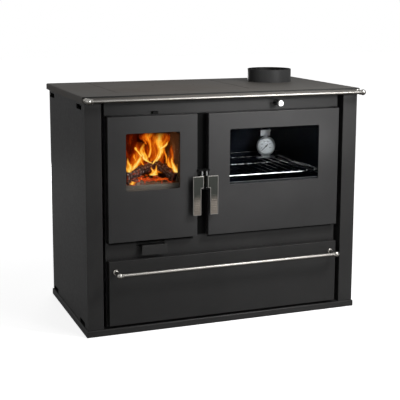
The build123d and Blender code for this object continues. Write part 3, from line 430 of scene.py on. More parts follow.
def makeFlame(name, warmth, thickness):
    # u runs across a tongue and v up it: hot in the middle and at the foot, torn and clear at the edges
    shader = newFinish(name, (0.02, 0.005, 0.0), 1.0, gloss=0.0,
                                       Emission_Strength=flame["strength"])
    uv = shaderNode(shader, "TexCoord").outputs["UV"]
    across, rise = axisOf(uv, "X"), axisOf(uv, "Y")
    sway = minus(noiseValue(objectPoint(shader, flame["sway"]), 1.0, 3, 0.5, 0.4), 0.5)
    licks = minus(noiseValue(objectPoint(shader, flame["licks"]), 1.0, 3, 0.6, 1.2), 0.5)
    swayed = plus(across, times(sway, flame["swayBy"]))
    fromMiddle = calc("ABSOLUTE", minus(times(swayed, 2.0), 1.0))
    body = plus(minus(1.0, fromMiddle), times(licks, flame["torn"]))
    rim = spread(calc("ABSOLUTE", minus(across, 0.5)), 0.5, 0.38)
    ends = times(spread(rise, 1.0, 0.7), spread(rise, 0.0, 0.06))
    shown = times(spread(body, *flame["edge"], smooth=True), times(rim, ends))
    heat = plus(times(body, 0.6), times(rise, flame["cooling"]))
    feed(shader, Emission_Color=heatRamp(plus(heat, warmth)), Alpha=times(shown, thickness))


makeFlame("flameHot", 0.40, 1.0)
makeFlame("flameMiddle", 0.20, 0.95)
makeFlame("flameDeep", -0.04, 0.7)
# a faint glow used as painted firelight at the back of the firebox
makeFlame("firelightFaint", -0.38, 0.6)


def makeEmber(name, color, heatRange, scale, strength, paler=4.5, hottest=1.1):
    # burning wood: dark crust with glow where the noise runs high
    shader = newFinish(name, color, 0.9, gloss=0.15, Emission_Strength=strength)
    point = objectPoint(shader)
    patch = noiseValue(point, scale, 3, 0.6)
    crust = noiseValue(point, 420, 4, 0.65)
    heat = times(spread(patch, *heatRange), spread(crust, 0.2, 0.6, hottest / 2, hottest))
    feed(shader, Base_Color=mixColor(spread(crust, 0.42, 0.7), color, tuple(c * paler for c in color)),
         Emission_Color=mixColor(spread(heat, 0.0, 0.16), (0.0, 0.0, 0.0), heatRamp(heat)),
         Normal=bumped(crust, 0.8, 1.5 * mm))


makeEmber("charCrust", (0.018, 0.013, 0.013), (0.60, 0.95), 30, 0.8, 9)
makeEmber("charCrack", (0.016, 0.007, 0.005), (0.52, 1.1), 26, 0.9)
makeEmber("emberGlow", (0.05, 0.036, 0.032), (0.50, 0.95), 34, 0.9)
makeEmber("emberHot", (0.07, 0.02, 0.012), (0.25, 0.95), 60, 1.0, hottest=0.72)

# which CAD nodes wear each finish
finishes = (
    ("stovePaint", "plinth side_panel_left side_panel_right back_panel upper_fascia"),
    ("drawerPaintShaded", "drawer_front"),
    ("tabPaint", "primary_air_slide"),
    ("collarPaint", "flue_collar"),
    ("framePaint", "front_frame"),
    ("doorPaintLit", "fire_door_panel oven_door_panel"),
    # black hardware; on the damper bush the black is painted shade
    ("hardwareBlack", "fire_latch_bracket oven_latch_bracket hinge_brackets hinge_pins firebox_shell"),
    ("hardwareBlack", "fire_door_liner oven_door_liner fire_glass_clips oven_glass_clips damper_bush"),
    ("hardwareBlack", "secondary_air_slide air_slide_guides"),
    ("hobMetal", "hob_plate hotplate"),
    ("hobRailSteelShaded", "hob_rail"),
    ("railSteel", "drawer_rail"),
    ("pinSteel", "fire_latch_pin oven_latch_pin rear_screws damper_knob"),
    ("rackChrome", "oven_rack"),
    ("rimSteel", "fire_handle oven_handle"),
    ("gaugeSteel", "thermometer_case"),
    ("sheetSteel", "ash_pan drawer_box inner_back inner_side_left inner_side_right"),
    ("rodSteel", "damper_rod rack_runners drawer_runners"),
    ("brassCatch", "latch_keeper"),
    ("castIron", "fire_grate grate_shelf"),
    ("ashyIron", "log_guard"),
    ("ironSlide", "flue_divider damper_plate"),
    ("ovenEnamel", "oven_box"),
    ("fireClay", "firebricks"),
    ("pressedBoard", "smoke_baffle"),
    ("ropeSeal", "fire_door_seal oven_door_seal"),
    ("fireGlass", "fire_door_glass"),
    ("ovenGlass", "oven_door_glass"),
    ("lensGlass", "thermometer_lens"),
    ("dialInk", "thermometer_needle"),
)
finishOf = {name: bpy.data.materials[finish] for finish, names in finishes for name in names.split()}
for name, node in nodes.items():
    if not node.material_slots:
        node.data.materials.append(finishOf[name])
    for place in node.material_slots:
        place.material = finishOf[name]
print("finishes on", len(finishOf), "CAD nodes")

# camera, lamps and floor

view = {
    "at": (-1.1908, -3.1112, 1.0614),
    "yaw": 0.36535,
    "pitch": 0.1649,
    "roll": 0.0028,
    "focal": 963.47,  # in pixels of a picture this wide
    "picture": 400,
    "sensor": 36,
    "shift": -0.10,
    "nearest": 0.05,
}
camera = bpy.data.objects.new("camera", bpy.data.cameras.new("camera"))
scene.collection.objects.link(camera)
level = Vector((math.sin(view["yaw"]), math.cos(view["yaw"]), 0))
ahead = level * math.cos(view["pitch"]) - Vector((0, 0, math.sin(view["pitch"])))
toRight = Vector((math.cos(view["yaw"]), -math.sin(view["yaw"]), 0))
toTop = toRight.cross(ahead)
tilted = toRight * math.cos(view["roll"]) + toTop * math.sin(view["roll"])
above = toTop * math.cos(view["roll"]) - toRight * math.sin(view["roll"])
camera.matrix_world = Matrix.Translation(view["at"]) @ Matrix((tilted, above, -ahead)).transposed().to_4x4()
camera.data.sensor_width = view["sensor"]
camera.data.lens = view["focal"] / view["picture"] * view["sensor"]
camera.data.shift_y = view["shift"]
camera.data.clip_start = view["nearest"]
scene.camera = camera

# a lamp with a cone is a spot, the others are soft areas
lamps = {
    "keyLamp": {"at": (1.75, -3.35, 0.9), "aim": (0.15, -0.25, 0.6), "size": (0.8, 0.9), "power": 11},
    "lowLamp": {"at": (1.6, -3.2, 0.35), "aim": (0.15, -0.25, 0.6), "size": (0.8, 0.5), "power": 6},
    "nearLamp": {"at": (0.6, -1.0, 1.3), "aim": (0.15, -0.25, 0.6), "size": (0.35, 0.35), "power": 11},
    "highLamp": {"at": (0.3, -1.5, 1.5), "aim": (0.1, -0.25, 0.6), "size": (0.5, 0.4), "power": 3},
    "fillLamp": {"at": (-3.4, -1.4, 1.9), "aim": (0, -0.2, 0.6), "size": (1.8, 1.8), "power": 7},
    "rearLamp": {"at": (0.6, 3.0, 0.45), "aim": (0, 0, 0.4), "size": (1.6, 0.7), "power": 28},
    "doorSpot": {"at": (0.9, -2.6, 1.3), "aim": (0.08, -0.25, 0.70), "size": 0.12, "power": 130,
                 "cone": 21, "blend": 1.0},
    "gaugeSpot": {"at": (0.45, -3.0, 0.95), "aim": (0.292, 0.085, 0.546), "size": 0.06, "power": 200,
                  "cone": 2.3, "blend": 0.5},
}
for name, lamp in lamps.items():
    light = bpy.data.lights.new(name, "SPOT" if "cone" in lamp else "AREA")
    if "cone" in lamp:
        light.spot_size = math.radians(lamp["cone"])
        light.spot_blend = lamp["blend"]
        light.shadow_soft_size = lamp["size"]
    else:
        light.shape = "RECTANGLE"
        light.size, light.size_y = lamp["size"]
    light.energy = lamp["power"]
    placed = bpy.data.objects.new(name, light)
    scene.collection.objects.link(placed)
    placed.rotation_euler = (Vector(lamp["aim"]) - Vector(lamp["at"])).to_track_quat("-Z", "Y").to_euler()
    placed.location = lamp["at"]
    placed.visible_camera = False

surround = {
    "ambient": 0.08,
    "mirrored": 0.35,
    "floorMirrored": 0.1,
    "floor": (0.8, 0.8, 0.8),
    "floorGlow": (0.84, 1.0),
    "shadowReach": (0.7, 2.2),
    "floorSize": 14,
    "floorLevel": -0.4 * mm,
}


def seenDirectly(owner, mirrored):
    # 1 for the camera and through glass, a share of it in reflections
    path = shaderNode(owner, "LightPath").outputs
    straight = calc("MAXIMUM", path["Is Camera Ray"], path["Is Transmission Ray"])
    return calc("MAXIMUM", straight, times(path["Is Glossy Ray"], mirrored))


world = bpy.data.worlds.new("studio")
scene.world = world
world.use_nodes = True
backdrop = world.node_tree.nodes["Background"]
backdrop.inputs["Color"].default_value = white
feed(backdrop, Strength=spread(seenDirectly(backdrop, surround["mirrored"]), 0, 1, surround["ambient"], 1))

floorMesh = bmesh.new()
bmesh.ops.create_grid(floorMesh, x_segments=1, y_segments=1, size=surround["floorSize"])
floorData = bpy.data.meshes.new("floor")
floorMesh.to_mesh(floorData)
floorMesh.free()
studioFloor = bpy.data.objects.new("floor", floorData)
studioFloor.location.z = surround["floorLevel"]
scene.collection.objects.link(studioFloor)
floorShader = newFinish("floorPaint", surround["floor"], 0.9, gloss=0.1, Emission_Color=white)
# the glow is a little lower round the stove, where its shadow falls
away = measured("LENGTH", objectPoint(floorShader))
glow = spread(away, *surround["shadowReach"], *surround["floorGlow"], smooth=True)
feed(floorShader, Emission_Strength=times(seenDirectly(floorShader, surround["floorMirrored"]), glow))
floorData.materials.append(bpy.data.materials["floorPaint"])
print("camera, lamps and floor are set")

# small tools for meshes; they take millimetres and a mesh is in metres


def boxOf(node):
    return [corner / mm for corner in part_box(node)]


def middleOf(node):
    low, high = boxOf(node)
    return (low + high) / 2


def vertsIn(parts):
    return [part for part in parts if isinstance(part, bmesh.types.BMVert)]


def secondFinish(faces):
    for face in faces:
        face.material_index = 1


def pick(values, names):
    return (values[name] for name in names.split())


def finishPiece(mesh, name, finishes, body, replaced=(), sharpAngle=35, recalc=True):
    bmesh.ops.remove_doubles(mesh, verts=mesh.verts, dist=1e-7)
    if recalc:
        bmesh.ops.recalc_face_normals(mesh, faces=mesh.faces)
    data = bpy.data.meshes.new(name)
    mesh.to_mesh(data)
    mesh.free()
    for face in data.polygons:
        face.use_smooth = True
    data.set_sharp_from_angle(angle=math.radians(sharpAngle))
    for finish in finishes.split():
        data.materials.append(bpy.data.materials[finish])
    piece = bpy.data.objects.new(name, data)
    scene.collection.objects.link(piece)
    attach(piece, body)
    if replaced:
        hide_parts(*replaced)


def softenEdges(mesh, edges, offset, segments=2):
    bmesh.ops.bevel(mesh, geom=edges, offset=offset * mm, segments=segments,
                    affect="EDGES", profile=0.5, material=-1)


def addCube(mesh, place, size):
    shape = place @ Matrix.Diagonal((*(Vector(size) * mm), 1))
    return bmesh.ops.create_cube(mesh, size=1, matrix=shape)["verts"]


def addBlock(mesh, low, high, bevel=0.0, segments=2):
    low, high = Vector(low), Vector(high)
    made = addCube(mesh, Matrix.Translation((low + high) / 2 * mm), high - low)
    if bevel:
        softenEdges(mesh, list({e for v in made for e in v.link_edges}), bevel, segments)


def turnedProfile(mesh, profile, at, along, steps=40):
    # profile: (distance along the axis, radius) from one end to the other
    axis = Vector(along).normalized()
    side = axis.orthogonal().normalized()
    at = Vector(at)
    verts = [mesh.verts.new((at + axis * d + side * r) * mm) for d, r in profile]
    line = verts + [mesh.edges.new(pair) for pair in zip(verts, verts[1:])]
    bmesh.ops.spin(mesh, geom=line, cent=at * mm, axis=axis, angle=2 * math.pi, steps=steps, use_merge=True)


def addRod(mesh, start, end, radius, sides=20, bevel=0.0):
    start, end = Vector(start), Vector(end)
    reach = (end - start).length
    edge = min(bevel, radius * 0.6)
    sideLine = [(0, radius), (reach, radius)]
    if edge:
        sideLine = [(0, radius - edge), (edge, radius), (reach - edge, radius), (reach, radius - edge)]
    turnedProfile(mesh, [(0, 0), *sideLine, (reach, 0)], start, end - start, sides)


def wrapGrid(mesh, across, along, place):
    # a grid whose points go to place(u, v); its UV map keeps u and v
    mesh.loops.layers.uv.verify()
    made = bmesh.ops.create_grid(mesh, x_segments=across, y_segments=along, size=0.5, calc_uvs=True)
    for vert in made["verts"]:
        vert.co = place(vert.co.x + 0.5, vert.co.y + 0.5) * mm


def alongLine(points, share):
    # the point at a share of the way along a line that passes smoothly through the given ones
    ends = [points[0], *points, points[-1]]
    where = min(share, 0.99999) * (len(points) - 1)
    i = int(where)
    t = where - i
    a, b, c, d = (Vector(q) for q in ends[i:i + 4])
    bent = (2 * a - 5 * b + 4 * c - d) * t * t + (3 * b - a - 3 * c + d) * t ** 3
    return 0.5 * (2 * b + (c - a) * t + bent)


# door handles, one flag-shaped grip for each door

grip = {
    "rim": 2.0, "border": 0.35, "sunk": 0.9, "edge": 0.6, "corner": 1.2, "thickness": 5.0,
    "wideHeight": 39.0, "narrowWidth": 28.0, "pinToMiddle": 7.8, "innerEdge": 7.0,
    "ribs": 7, "ribPitch": 8.0, "ribHeight": 3.4, "ribRise": 0.8, "ribRoot": 0.5,
    "ribStart": 14.0, "ribInset": 4.6, "barrel": 6.0, "barrelEdge": 0.8, "bore": 2.8, "gap": 0.5,
    "noseWidth": 5.0, "noseHeight": 14.0, "noseDrop": 6.0,
}


def doorHandle(door, side):
    node = door + "_handle"
    low, high = boxOf(node)
    pin = middleOf(door + "_latch_pin")
    face = low.y
    outer = low.x if side < 0 else high.x
    inner = pin.x - side * (grip["pinToMiddle"] - grip["innerEdge"])
    narrow = outer - side * grip["narrowWidth"]
    step = high.z - grip["wideHeight"]
    across, up = (outer, outer, inner, inner, narrow, narrow), (low.z, high.z, high.z, step, step, low.z)
    mesh = bmesh.new()
    plate = mesh.faces.new([mesh.verts.new(Vector((x, face, z)) * mm) for x, z in zip(across, up)])
    pushed = bmesh.ops.extrude_face_region(mesh, geom=[plate])["geom"]
    bmesh.ops.translate(mesh, verts=vertsIn(pushed), vec=(0, grip["thickness"] * mm, 0))
    front = next(f for f in mesh.faces if all(abs(v.co.y - face * mm) < 1e-6 for v in f.verts))
    upright = [e for e in mesh.edges if len({round(v.co.y, 6) for v in e.verts}) == 2]
    for width in (grip["rim"], grip["border"]):
        bmesh.ops.inset_region(mesh, faces=[front], thickness=width * mm, depth=0, use_even_offset=True)
    bmesh.ops.translate(mesh, verts=front.verts, vec=(0, grip["sunk"] * mm, 0))
    secondFinish([front])
    softenEdges(mesh, upright, grip["corner"], 3)
    mesh.normal_update()
    sides = {e for f in mesh.faces if abs(f.normal.y) < 0.1 for e in f.edges}
    flats = {e for f in mesh.faces if abs(f.normal.y) > 0.9 for e in f.edges}
    softenEdges(mesh, [e for e in mesh.edges if e in sides and e in flats], grip["edge"], 3)
    plateFaces = set(mesh.faces)

    ribLeft, ribRight = sorted((narrow + side * grip["ribInset"], outer - side * grip["ribInset"]))
    floor = face + grip["sunk"]
    for i in range(grip["ribs"]):
        z = low.z + grip["ribStart"] + i * grip["ribPitch"]
        ribHigh = (ribRight, floor + grip["ribRoot"], z + grip["ribHeight"])
        addBlock(mesh, (ribLeft, floor - grip["ribRise"], z), ribHigh, 0.6, 3)

    barrel, bore, edge, bottom = grip["barrel"], grip["bore"], grip["barrelEdge"], step + grip["gap"]
    length = high.z - bottom
    tube = [(0, bore), (0, barrel - edge), (edge, barrel), (length - edge, barrel), (length, barrel - edge),
            (length, bore), (0, bore)]
    turnedProfile(mesh, tube, (pin.x, pin.y, bottom), (0, 0, 1), 28)
    webLeft, webRight = sorted((pin.x + side * (barrel - 0.6), inner + side * 0.5))
    webHigh = (webRight, pin.y, high.z - 0.2)
    addBlock(mesh, (webLeft, face + grip["thickness"] - 0.6, step + 0.7), webHigh, 0.15, 1)
    noseTop, half = high.z - grip["noseDrop"], grip["noseWidth"] / 2
    noseHigh = (pin.x + half, high.y, noseTop)
    addBlock(mesh, (pin.x - half, pin.y + bore + edge, noseTop - grip["noseHeight"]), noseHigh, 1.6, 3)
    # the ribs, barrel, web and nose take the recess finish: painted shade, dark in the gap between the doors
    # and dimming the ribs
    secondFinish(set(mesh.faces) - plateFaces)
    finishPiece(mesh, door + "DoorHandle", "rimSteel recessSteel", door + "_door_handle", [node], 40)


doorHandle("fire", -1)
doorHandle("oven", 1)

# hand rails on the hob and the drawer

railParts = {
    "tube": 6.0, "tubeInset": 6.6, "ball": 10.0, "screw": 1.6, "screwAt": 10.0,
    "socket": 8.0, "socketEnd": 13.0, "socketEdge": 0.8, "socketDepth": 4.0,
    "post": 5.0, "postStart": 7.0, "flange": 8.5, "flangeThick": 3.0, "flangeEdge": 0.7,
}


def handRail(name, node, body, steel):
    low, high = boxOf(node)
    ball, tube, sock, end = pick(railParts, "ball tube socket socketEnd")
    post, flange, thick, screw = pick(railParts, "post flange flangeThick screw")
    edge, inset, rimEdge = pick(railParts, "socketEdge tubeInset flangeEdge")
    y, z = low.y + ball, (low.z + high.z) / 2
    left, right = low.x + ball, high.x - ball
    mesh = bmesh.new()
    turnedProfile(mesh, [(inset, tube), (right - left - inset, tube)], (left, y, z), (1, 0, 0), 36)
    tubeFaces = set(mesh.faces)
    shoulder = math.sqrt(ball ** 2 - sock ** 2)
    last = math.atan2(sock, shoulder)
    turns = [math.pi + (last - math.pi) * i / 14 for i in range(15)]
    knobEnd = [(-ball, 0)] + [(ball * math.cos(a), ball * math.sin(a)) for a in turns[1:]]
    knobEnd += [(shoulder + 0.5, sock - 0.5), (shoulder + 1.2, sock), (end - edge, sock), (end, sock - edge),
                (end, tube + 0.1), (end - railParts["socketDepth"], tube + 0.1)]
    neck = high.y - y
    foot = neck - thick
    leg = [(railParts["postStart"], post), (foot - 1.6, post), (foot - 0.6, post + 0.5), (foot, post + 1.4),
           (foot, flange - rimEdge), (foot + rimEdge, flange), (neck, flange), (neck, 0)]
    grub = [(0.9, 0), (0.9, screw * 0.6), (0, screw * 0.7), (-0.25, screw * 0.9), (-0.25, screw),
            (0.6, screw)]
    for x, inward in ((left, 1), (right, -1)):
        turnedProfile(mesh, knobEnd, (x, y, z), (inward, 0, 0), 36)
        turnedProfile(mesh, leg, (x, y, z), (0, 1, 0), 32)
        turnedProfile(mesh, grub, (x + inward * railParts["screwAt"], y, z - sock), (0, 0, 1), 12)
    secondFinish(set(mesh.faces) - tubeFaces)
    finishPiece(mesh, name, steel + " railEndSteel", body, [node], 42)


handRail("hobHandRail", "hob_rail", "body", "hobRailSteelShaded")
handRail("drawerHandRail", "drawer_rail", "wood_drawer", "railSteel")

knob = {"head": 12.0, "neck": 7.0, "edge": 3.6, "dimple": 1.6, "dimpleDepth": 2.6, "hole": 4.1}


def damperKnob():
    node = "damper_knob"
    low, high = boxOf(node)
    middle, radius = middleOf(node), (high.x - low.x) / 2
    edge, head, neck, dimple, deep = pick(knob, "edge head neck dimple dimpleDepth")
    length = high.y - low.y
    profile = [(deep, 0), (deep, dimple * 0.7), (0.5, dimple), (0.1, dimple + 0.5), (0, dimple + 1.0)]
    bends = (0, 0.3, 0.6, 0.9, 1.2, math.pi / 2)
    profile += [(edge - edge * math.cos(a), radius - edge + edge * math.sin(a)) for a in bends]
    profile += [(head - 2.2, radius), (head - 1, radius - 0.4), (head - 0.2, radius - 1.8),
                (head, radius - 3.4), (head + 0.4, neck + 1.2), (head + 1.4, neck),
                (length - 0.5, neck), (length, neck - 0.5), (length, knob["hole"])]
    mesh = bmesh.new()
    turnedProfile(mesh, profile, (middle.x, low.y, middle.z), (0, 1, 0), 48)
    # the neck behind the head is black: painted shade behind the knob
    secondFinish(face for face in mesh.faces if face.calc_center_median().y > (low.y + head) * mm)
    finishPiece(mesh, "damperKnob", "pinSteel hardwareBlack", "flue_damper", [node], 50)


damperKnob()

# flue collar, a welded tube with a rolled lip and a flange under the hob

collar = {"bore": 76.0, "wall": 3.2, "flange": 6.0, "flangeEdge": 0.5, "lip": 1.2}


def flueCollar():
    node = "flue_collar"
    low, high = boxOf(node)
    middle = middleOf(node)
    bore, under, edge, lip = pick(collar, "bore flange flangeEdge lip")
    outer, wide, top = bore + collar["wall"], (high.x - low.x) / 2, high.z - low.z
    rolled = 0.3 * lip
    flange = [(0, bore), (0, wide - edge), (edge, wide), (under - edge, wide), (under, wide - edge),
              (under, outer)]
    tube = [(top - lip, outer), (top - rolled, outer - rolled), (top, outer - lip), (top, bore + lip),
            (top - rolled, bore + rolled), (top - lip, bore), (0, bore)]
    mesh = bmesh.new()
    turnedProfile(mesh, flange + tube, (middle.x, middle.y, low.z), (0, 0, 1), 96)
    # the bore is black: soot and painted shade
    inside = (bore + 0.5 * lip) * mm
    secondFinish(face for face in mesh.faces if (face.calc_center_median() - middle * mm).xy.length < inside)
    finishPiece(mesh, "flueCollar", "collarPaint hardwareBlack", "body", [node], 40)


flueCollar()
print("handles, rails, knob and collar are made")

# rear screws: domed heads, each with a thin black cross as painted shade for its recess

screwHead = {"radius": 4.5, "height": 2.5, "shank": 2.0, "shankLength": 4.0, "slot": 1.1, "slotLength": 5.0}


def rearScrews():
    low, high = boxOf("rear_screws")
    radius, height, shank, deep = pick(screwHead, "radius height shank shankLength")
    cross = [(screwHead["slotLength"], screwHead["slot"]), (screwHead["slot"], screwHead["slotLength"])]
    corners = [v.co / mm for v in nodes["rear_screws"].data.vertices]
    rows = []
    for corner in corners:
        if corner.y > high.y - 0.1 and all(abs(corner.z - z) > 2 * radius for z in rows):
            near = [other.z for other in corners if abs(other.z - corner.z) < 2 * radius]
            rows.append((min(near) + max(near)) / 2)
    mesh = bmesh.new()
    dome = [(-deep, 0), (-deep, shank), (-0.05, shank), (0, radius), (0.5, radius), (1.4, radius * 0.86),
            (2.1, radius * 0.6), (height, radius * 0.25), (height, 0)]
    for x in (low.x + radius, high.x - radius):
        for z in rows:
            turnedProfile(mesh, dome, (x, high.y - height, z), (0, 1, 0), 24)
            for wide, tall in cross:
                spot = Matrix.Translation(Vector((x, high.y - 0.1, z)) * mm)
                # a thin black cross on the head: painted shade for the recess
                made = addCube(mesh, spot, (wide, 0.24, tall))
                secondFinish(f for v in made for f in v.link_faces)
    finishPiece(mesh, "rearScrews", "pinSteel dialInk", "body", ["rear_screws"], 40)


rearScrews()

# rope seals round the backs of the doors

seal = {"radius": 5.0, "corner": 14.0, "around": 12, "ring": 2.6, "pitch": 9.0, "strands": 4, "depth": 0.10}


def ropeLoop(door):
    node = door + "_door_seal"
    low, high = boxOf(node)
    wide, thick = seal["radius"], (high.y - low.y) / 2
    y, corner = (low.y + high.y) / 2, seal["corner"] - wide
    left, right, bottom, top = low.x + wide, high.x - wide, low.z + wide, high.z - wide
    turn = corner * math.pi / 2
    runs = [right - left - 2 * corner, top - bottom - 2 * corner] * 2
    length = sum(runs) + 4 * turn
    near, far, under, over = left + corner, right - corner, bottom + corner, top - corner
    starts = [Vector((x, y, z)) for x, z in ((near, bottom), (right, under), (far, top), (left, over))]
    centres = [Vector((x, y, z)) for x, z in ((far, under), (far, over), (near, over), (near, under))]

    def station(distance):
        for side in range(4):
            heading = side * math.pi / 2
            ahead = Vector((math.cos(heading), 0, math.sin(heading)))
            out = Vector((math.sin(heading), 0, -math.cos(heading)))
            if distance <= runs[side]:
                return starts[side] + ahead * distance, out
            distance -= runs[side]
            if distance <= turn:
                a = distance / corner
                out = out * math.cos(a) + ahead * math.sin(a)
                return centres[side] + out * corner, out
            distance -= turn
        return starts[0], Vector((0, 0, -1))

    turns = round(length / (seal["pitch"] * seal["strands"]))

    def place(u, v):
        middle, out = station(v * length)
        a = u * 2 * math.pi
        swell = 1 - seal["depth"] * (0.5 - 0.5 * math.cos(seal["strands"] * (a + v * turns * 2 * math.pi)))
        return middle + (out * wide * math.cos(a) + Vector((0, thick, 0)) * math.sin(a)) * swell

    mesh = bmesh.new()
    wrapGrid(mesh, seal["around"], round(length / seal["ring"]), place)
    bmesh.ops.remove_doubles(mesh, verts=mesh.verts, dist=0.02 * mm)
    finishPiece(mesh, door + "DoorRope", "ropeSeal", door + "_door", [node], 80)


ropeLoop("fire")
ropeLoop("oven")

# oven rack: welded bars, wires with rounded ends lapping the front bar, and a rear stop

rack = {
    "level": 481.0, "side": 3.6, "bar": 3.0, "middleBar": 15.0, "wire": 2.0, "wires": 13,
    "overrun": 5.0, "bite": 1.0, "stop": 2.4, "rise": 15.0, "weld": 3.6, "weldHeight": 2.6,
}


def ovenRack():
    low, high = boxOf("oven_rack")
    side, bar, wire, weld, swell = pick(rack, "side bar wire weld weldHeight")
    left, right = low.x + side, high.x - side
    near, far = low.y + rack["overrun"], high.y - rack["overrun"]
    height = rack["level"]
    wireHeight = height + bar + wire - rack["bite"]
    mesh = bmesh.new()
    for x in (left, right):
        addRod(mesh, (x, low.y, height), (x, high.y, height), side, 16, 1.4)
    for y in (near, rack["middleBar"], far):
        addRod(mesh, (left, y, height), (right, y, height), bar, 16)
    pitch = (right - left) / (rack["wires"] + 1)
    bead = [(-swell, 0), (-1.8, 2.6), (0, weld), (1.8, 2.6), (swell, 0)]
    for i in range(rack["wires"]):
        x = left + (i + 1) * pitch
        addRod(mesh, (x, low.y, wireHeight), (x, high.y, wireHeight), wire, 12, 1.0)
        for y in (near, far):
            turnedProfile(mesh, bead, (x, y, wireHeight - 0.2), (0, 0, 1), 10)
    stop = wireHeight + rack["rise"]
    for x in (left + pitch / 2, right - pitch / 2):
        addRod(mesh, (x, far, height), (x, far, stop), wire, 12)
    addRod(mesh, (left, far, stop), (right, far, stop), rack["stop"], 14, 1.2)
    finishPiece(mesh, "ovenRack", "rackChrome", "body", ["oven_rack"], 40)


ovenRack()

# strip that holds the lower edge of the oven glass

glassStrip = {"low": (2, -247.4, 458.0), "high": (334, -244.4, 471.5), "edge": 0.6, "lip": 1.6, "groove": 1.8}


def ovenGlassStrip():
    mesh = bmesh.new()
    addBlock(mesh, glassStrip["low"], glassStrip["high"], glassStrip["edge"])
    mesh.normal_update()
    front = max(mesh.faces, key=lambda face: -face.normal.y * face.calc_area())
    lip, groove = glassStrip["lip"] * mm, glassStrip["groove"] * mm
    bmesh.ops.inset_individual(mesh, faces=[front], thickness=lip, depth=-groove)
    # the sunk groove face is near black: painted shade in the groove
    secondFinish([front])
    finishPiece(mesh, "ovenGlassStrip", "stripGrey grooveDark", "oven_door")


ovenGlassStrip()

# oven thermometer

gauge = {
    "bezelEdge": 1.6, "bezelStep": 4.0, "depth": 12.0, "proud": 0.5, "plate": 1.2,
    "hook": (41, 38), "foot": 66, "footHeight": 3.2,
    "dial": 28.0, "dialDepth": 5.6, "dialThick": 0.5,
    "ticks": 31, "longTick": (3.6, 0.16, 0.7), "shortTick": (2.0, 0.16, 0.35), "tickInset": 2.0,
    "longEvery": 5, "sweep": 264, "coldEnd": 222,
    "numbers": (50, 100, 150, 200, 250, 300), "numberSize": 6.2, "numberInset": 9.5, "inkRise": 0.08,
}


def thermometerCase(x, z, face, radius, lens):
    low, high = boxOf("thermometer_case")
    edge, dial, depth, step = pick(gauge, "bezelEdge dial dialDepth bezelStep")
    full = gauge["depth"]
    back = face + full
    mesh = bmesh.new()
    case = [(full, 0), (full, radius - 2), (full - 1, radius - 1), (step + 0.5, radius - 0.6), (step, radius),
            (edge, radius), (0.5 * edge, radius - 0.3 * edge), (0, radius - edge), (0, lens + 0.4),
            (0.4, lens + 0.1), (2.4, lens - 0.4), (depth, dial), (depth + 0.4, 0)]
    turnedProfile(mesh, case, (x, face, z), (0, 1, 0), 72)
    wide, narrow = gauge["hook"]
    plate, foot = gauge["plate"], gauge["foot"]
    hookLow = z + radius + 1.5
    # half width, front and bottom, back and top, bevel and its steps: neck, stem, hook, leg, foot, boss
    blocks = (
        (8, (back - plate, z + radius * 0.6), (back, hookLow + 1), 0.3, 1),
        (narrow / 2, (back - plate, hookLow), (back, high.z - 3.5), 0.4, 2),
        (wide / 2, (back - 6, high.z - 5), (back + 2.5, high.z - 0.2), 1.2, 3),
        (9, (back - 2.4, low.z), (back, z - radius * 0.6), 0.4, 2),
        (foot / 2, (low.y, low.z), (high.y, low.z + gauge["footHeight"]), 0.6, 2),
        (foot / 4, (face + 3, low.z + 1), (back, low.z + 7.5), 1.5, 3),
    )
    for half, front, rear, bevel, segments in blocks:
        addBlock(mesh, (x - half, *front), (x + half, *rear), bevel, segments)
    finishPiece(mesh, "thermometerCase", "gaugeSteel", "body", ["thermometer_case"], 38)


def dialNumber(mesh, number, spot):
    text = bpy.data.curves.new("dialNumber", "FONT")
    text.body = str(number)
    text.size = gauge["numberSize"] * mm
    text.extrude = gauge["inkRise"] * mm
    text.align_x = "CENTER"
    text.align_y = "CENTER"
    holder = bpy.data.objects.new("dialNumber", text)
    flat = bpy.data.meshes.new_from_object(holder)
    flat.transform(Matrix.Translation(spot * mm) @ Matrix.Rotation(math.pi / 2, 4, "X"))
    mesh.from_mesh(flat)
    bpy.data.objects.remove(holder)
    bpy.data.curves.remove(text)
    bpy.data.meshes.remove(flat)


def ovenThermometer():
    low, high = boxOf("thermometer_case")
    lensLow, lensHigh = boxOf("thermometer_lens")
    x, z = (lensLow.x + lensHigh.x) / 2, (lensLow.z + lensHigh.z) / 2
    face = lensLow.y - gauge["proud"]
    thermometerCase(x, z, face, (high.x - low.x) / 2, (lensHigh.x - lensLow.x) / 2)

    dial, thick = gauge["dial"], gauge["dialThick"]
    dialFace = face + gauge["dialDepth"] - 0.3
    mesh = bmesh.new()
    disc = [(thick, 0), (thick, dial - 0.2), (0, dial - 0.6), (0, 0)]
    turnedProfile(mesh, disc, (x, dialFace, z), (0, 1, 0), 64)
    finishPiece(mesh, "thermometerDial", "dialWhite", "body", (), 40)

    middle = Vector((x, dialFace, z))
    mesh = bmesh.new()
    for i in range(gauge["ticks"]):
        angle = math.radians(gauge["coldEnd"] - gauge["sweep"] * i / (gauge["ticks"] - 1))
        tick = gauge["shortTick" if i % gauge["longEvery"] else "longTick"]
        outward = Matrix.Translation(((dial - gauge["tickInset"] - tick[0] / 2) * mm, 0, 0))
        addCube(mesh, Matrix.Translation(middle * mm) @ Matrix.Rotation(-angle, 4, "Y") @ outward, tick)
    count, reach = len(gauge["numbers"]), dial - gauge["numberInset"]
    for k, number in enumerate(gauge["numbers"]):
        angle = math.radians(gauge["coldEnd"] - gauge["sweep"] * (k + 1) / count + gauge["sweep"] / 12)
        dialNumber(mesh, number, middle + reach * Vector((math.cos(angle), 0, math.sin(angle))))
    finishPiece(mesh, "thermometerScale", "dialInk", "body", (), 40)


ovenThermometer()
print("seals, rack and thermometer are made")

# the fire: a bed of ash and embers on the grate, charred logs and flames

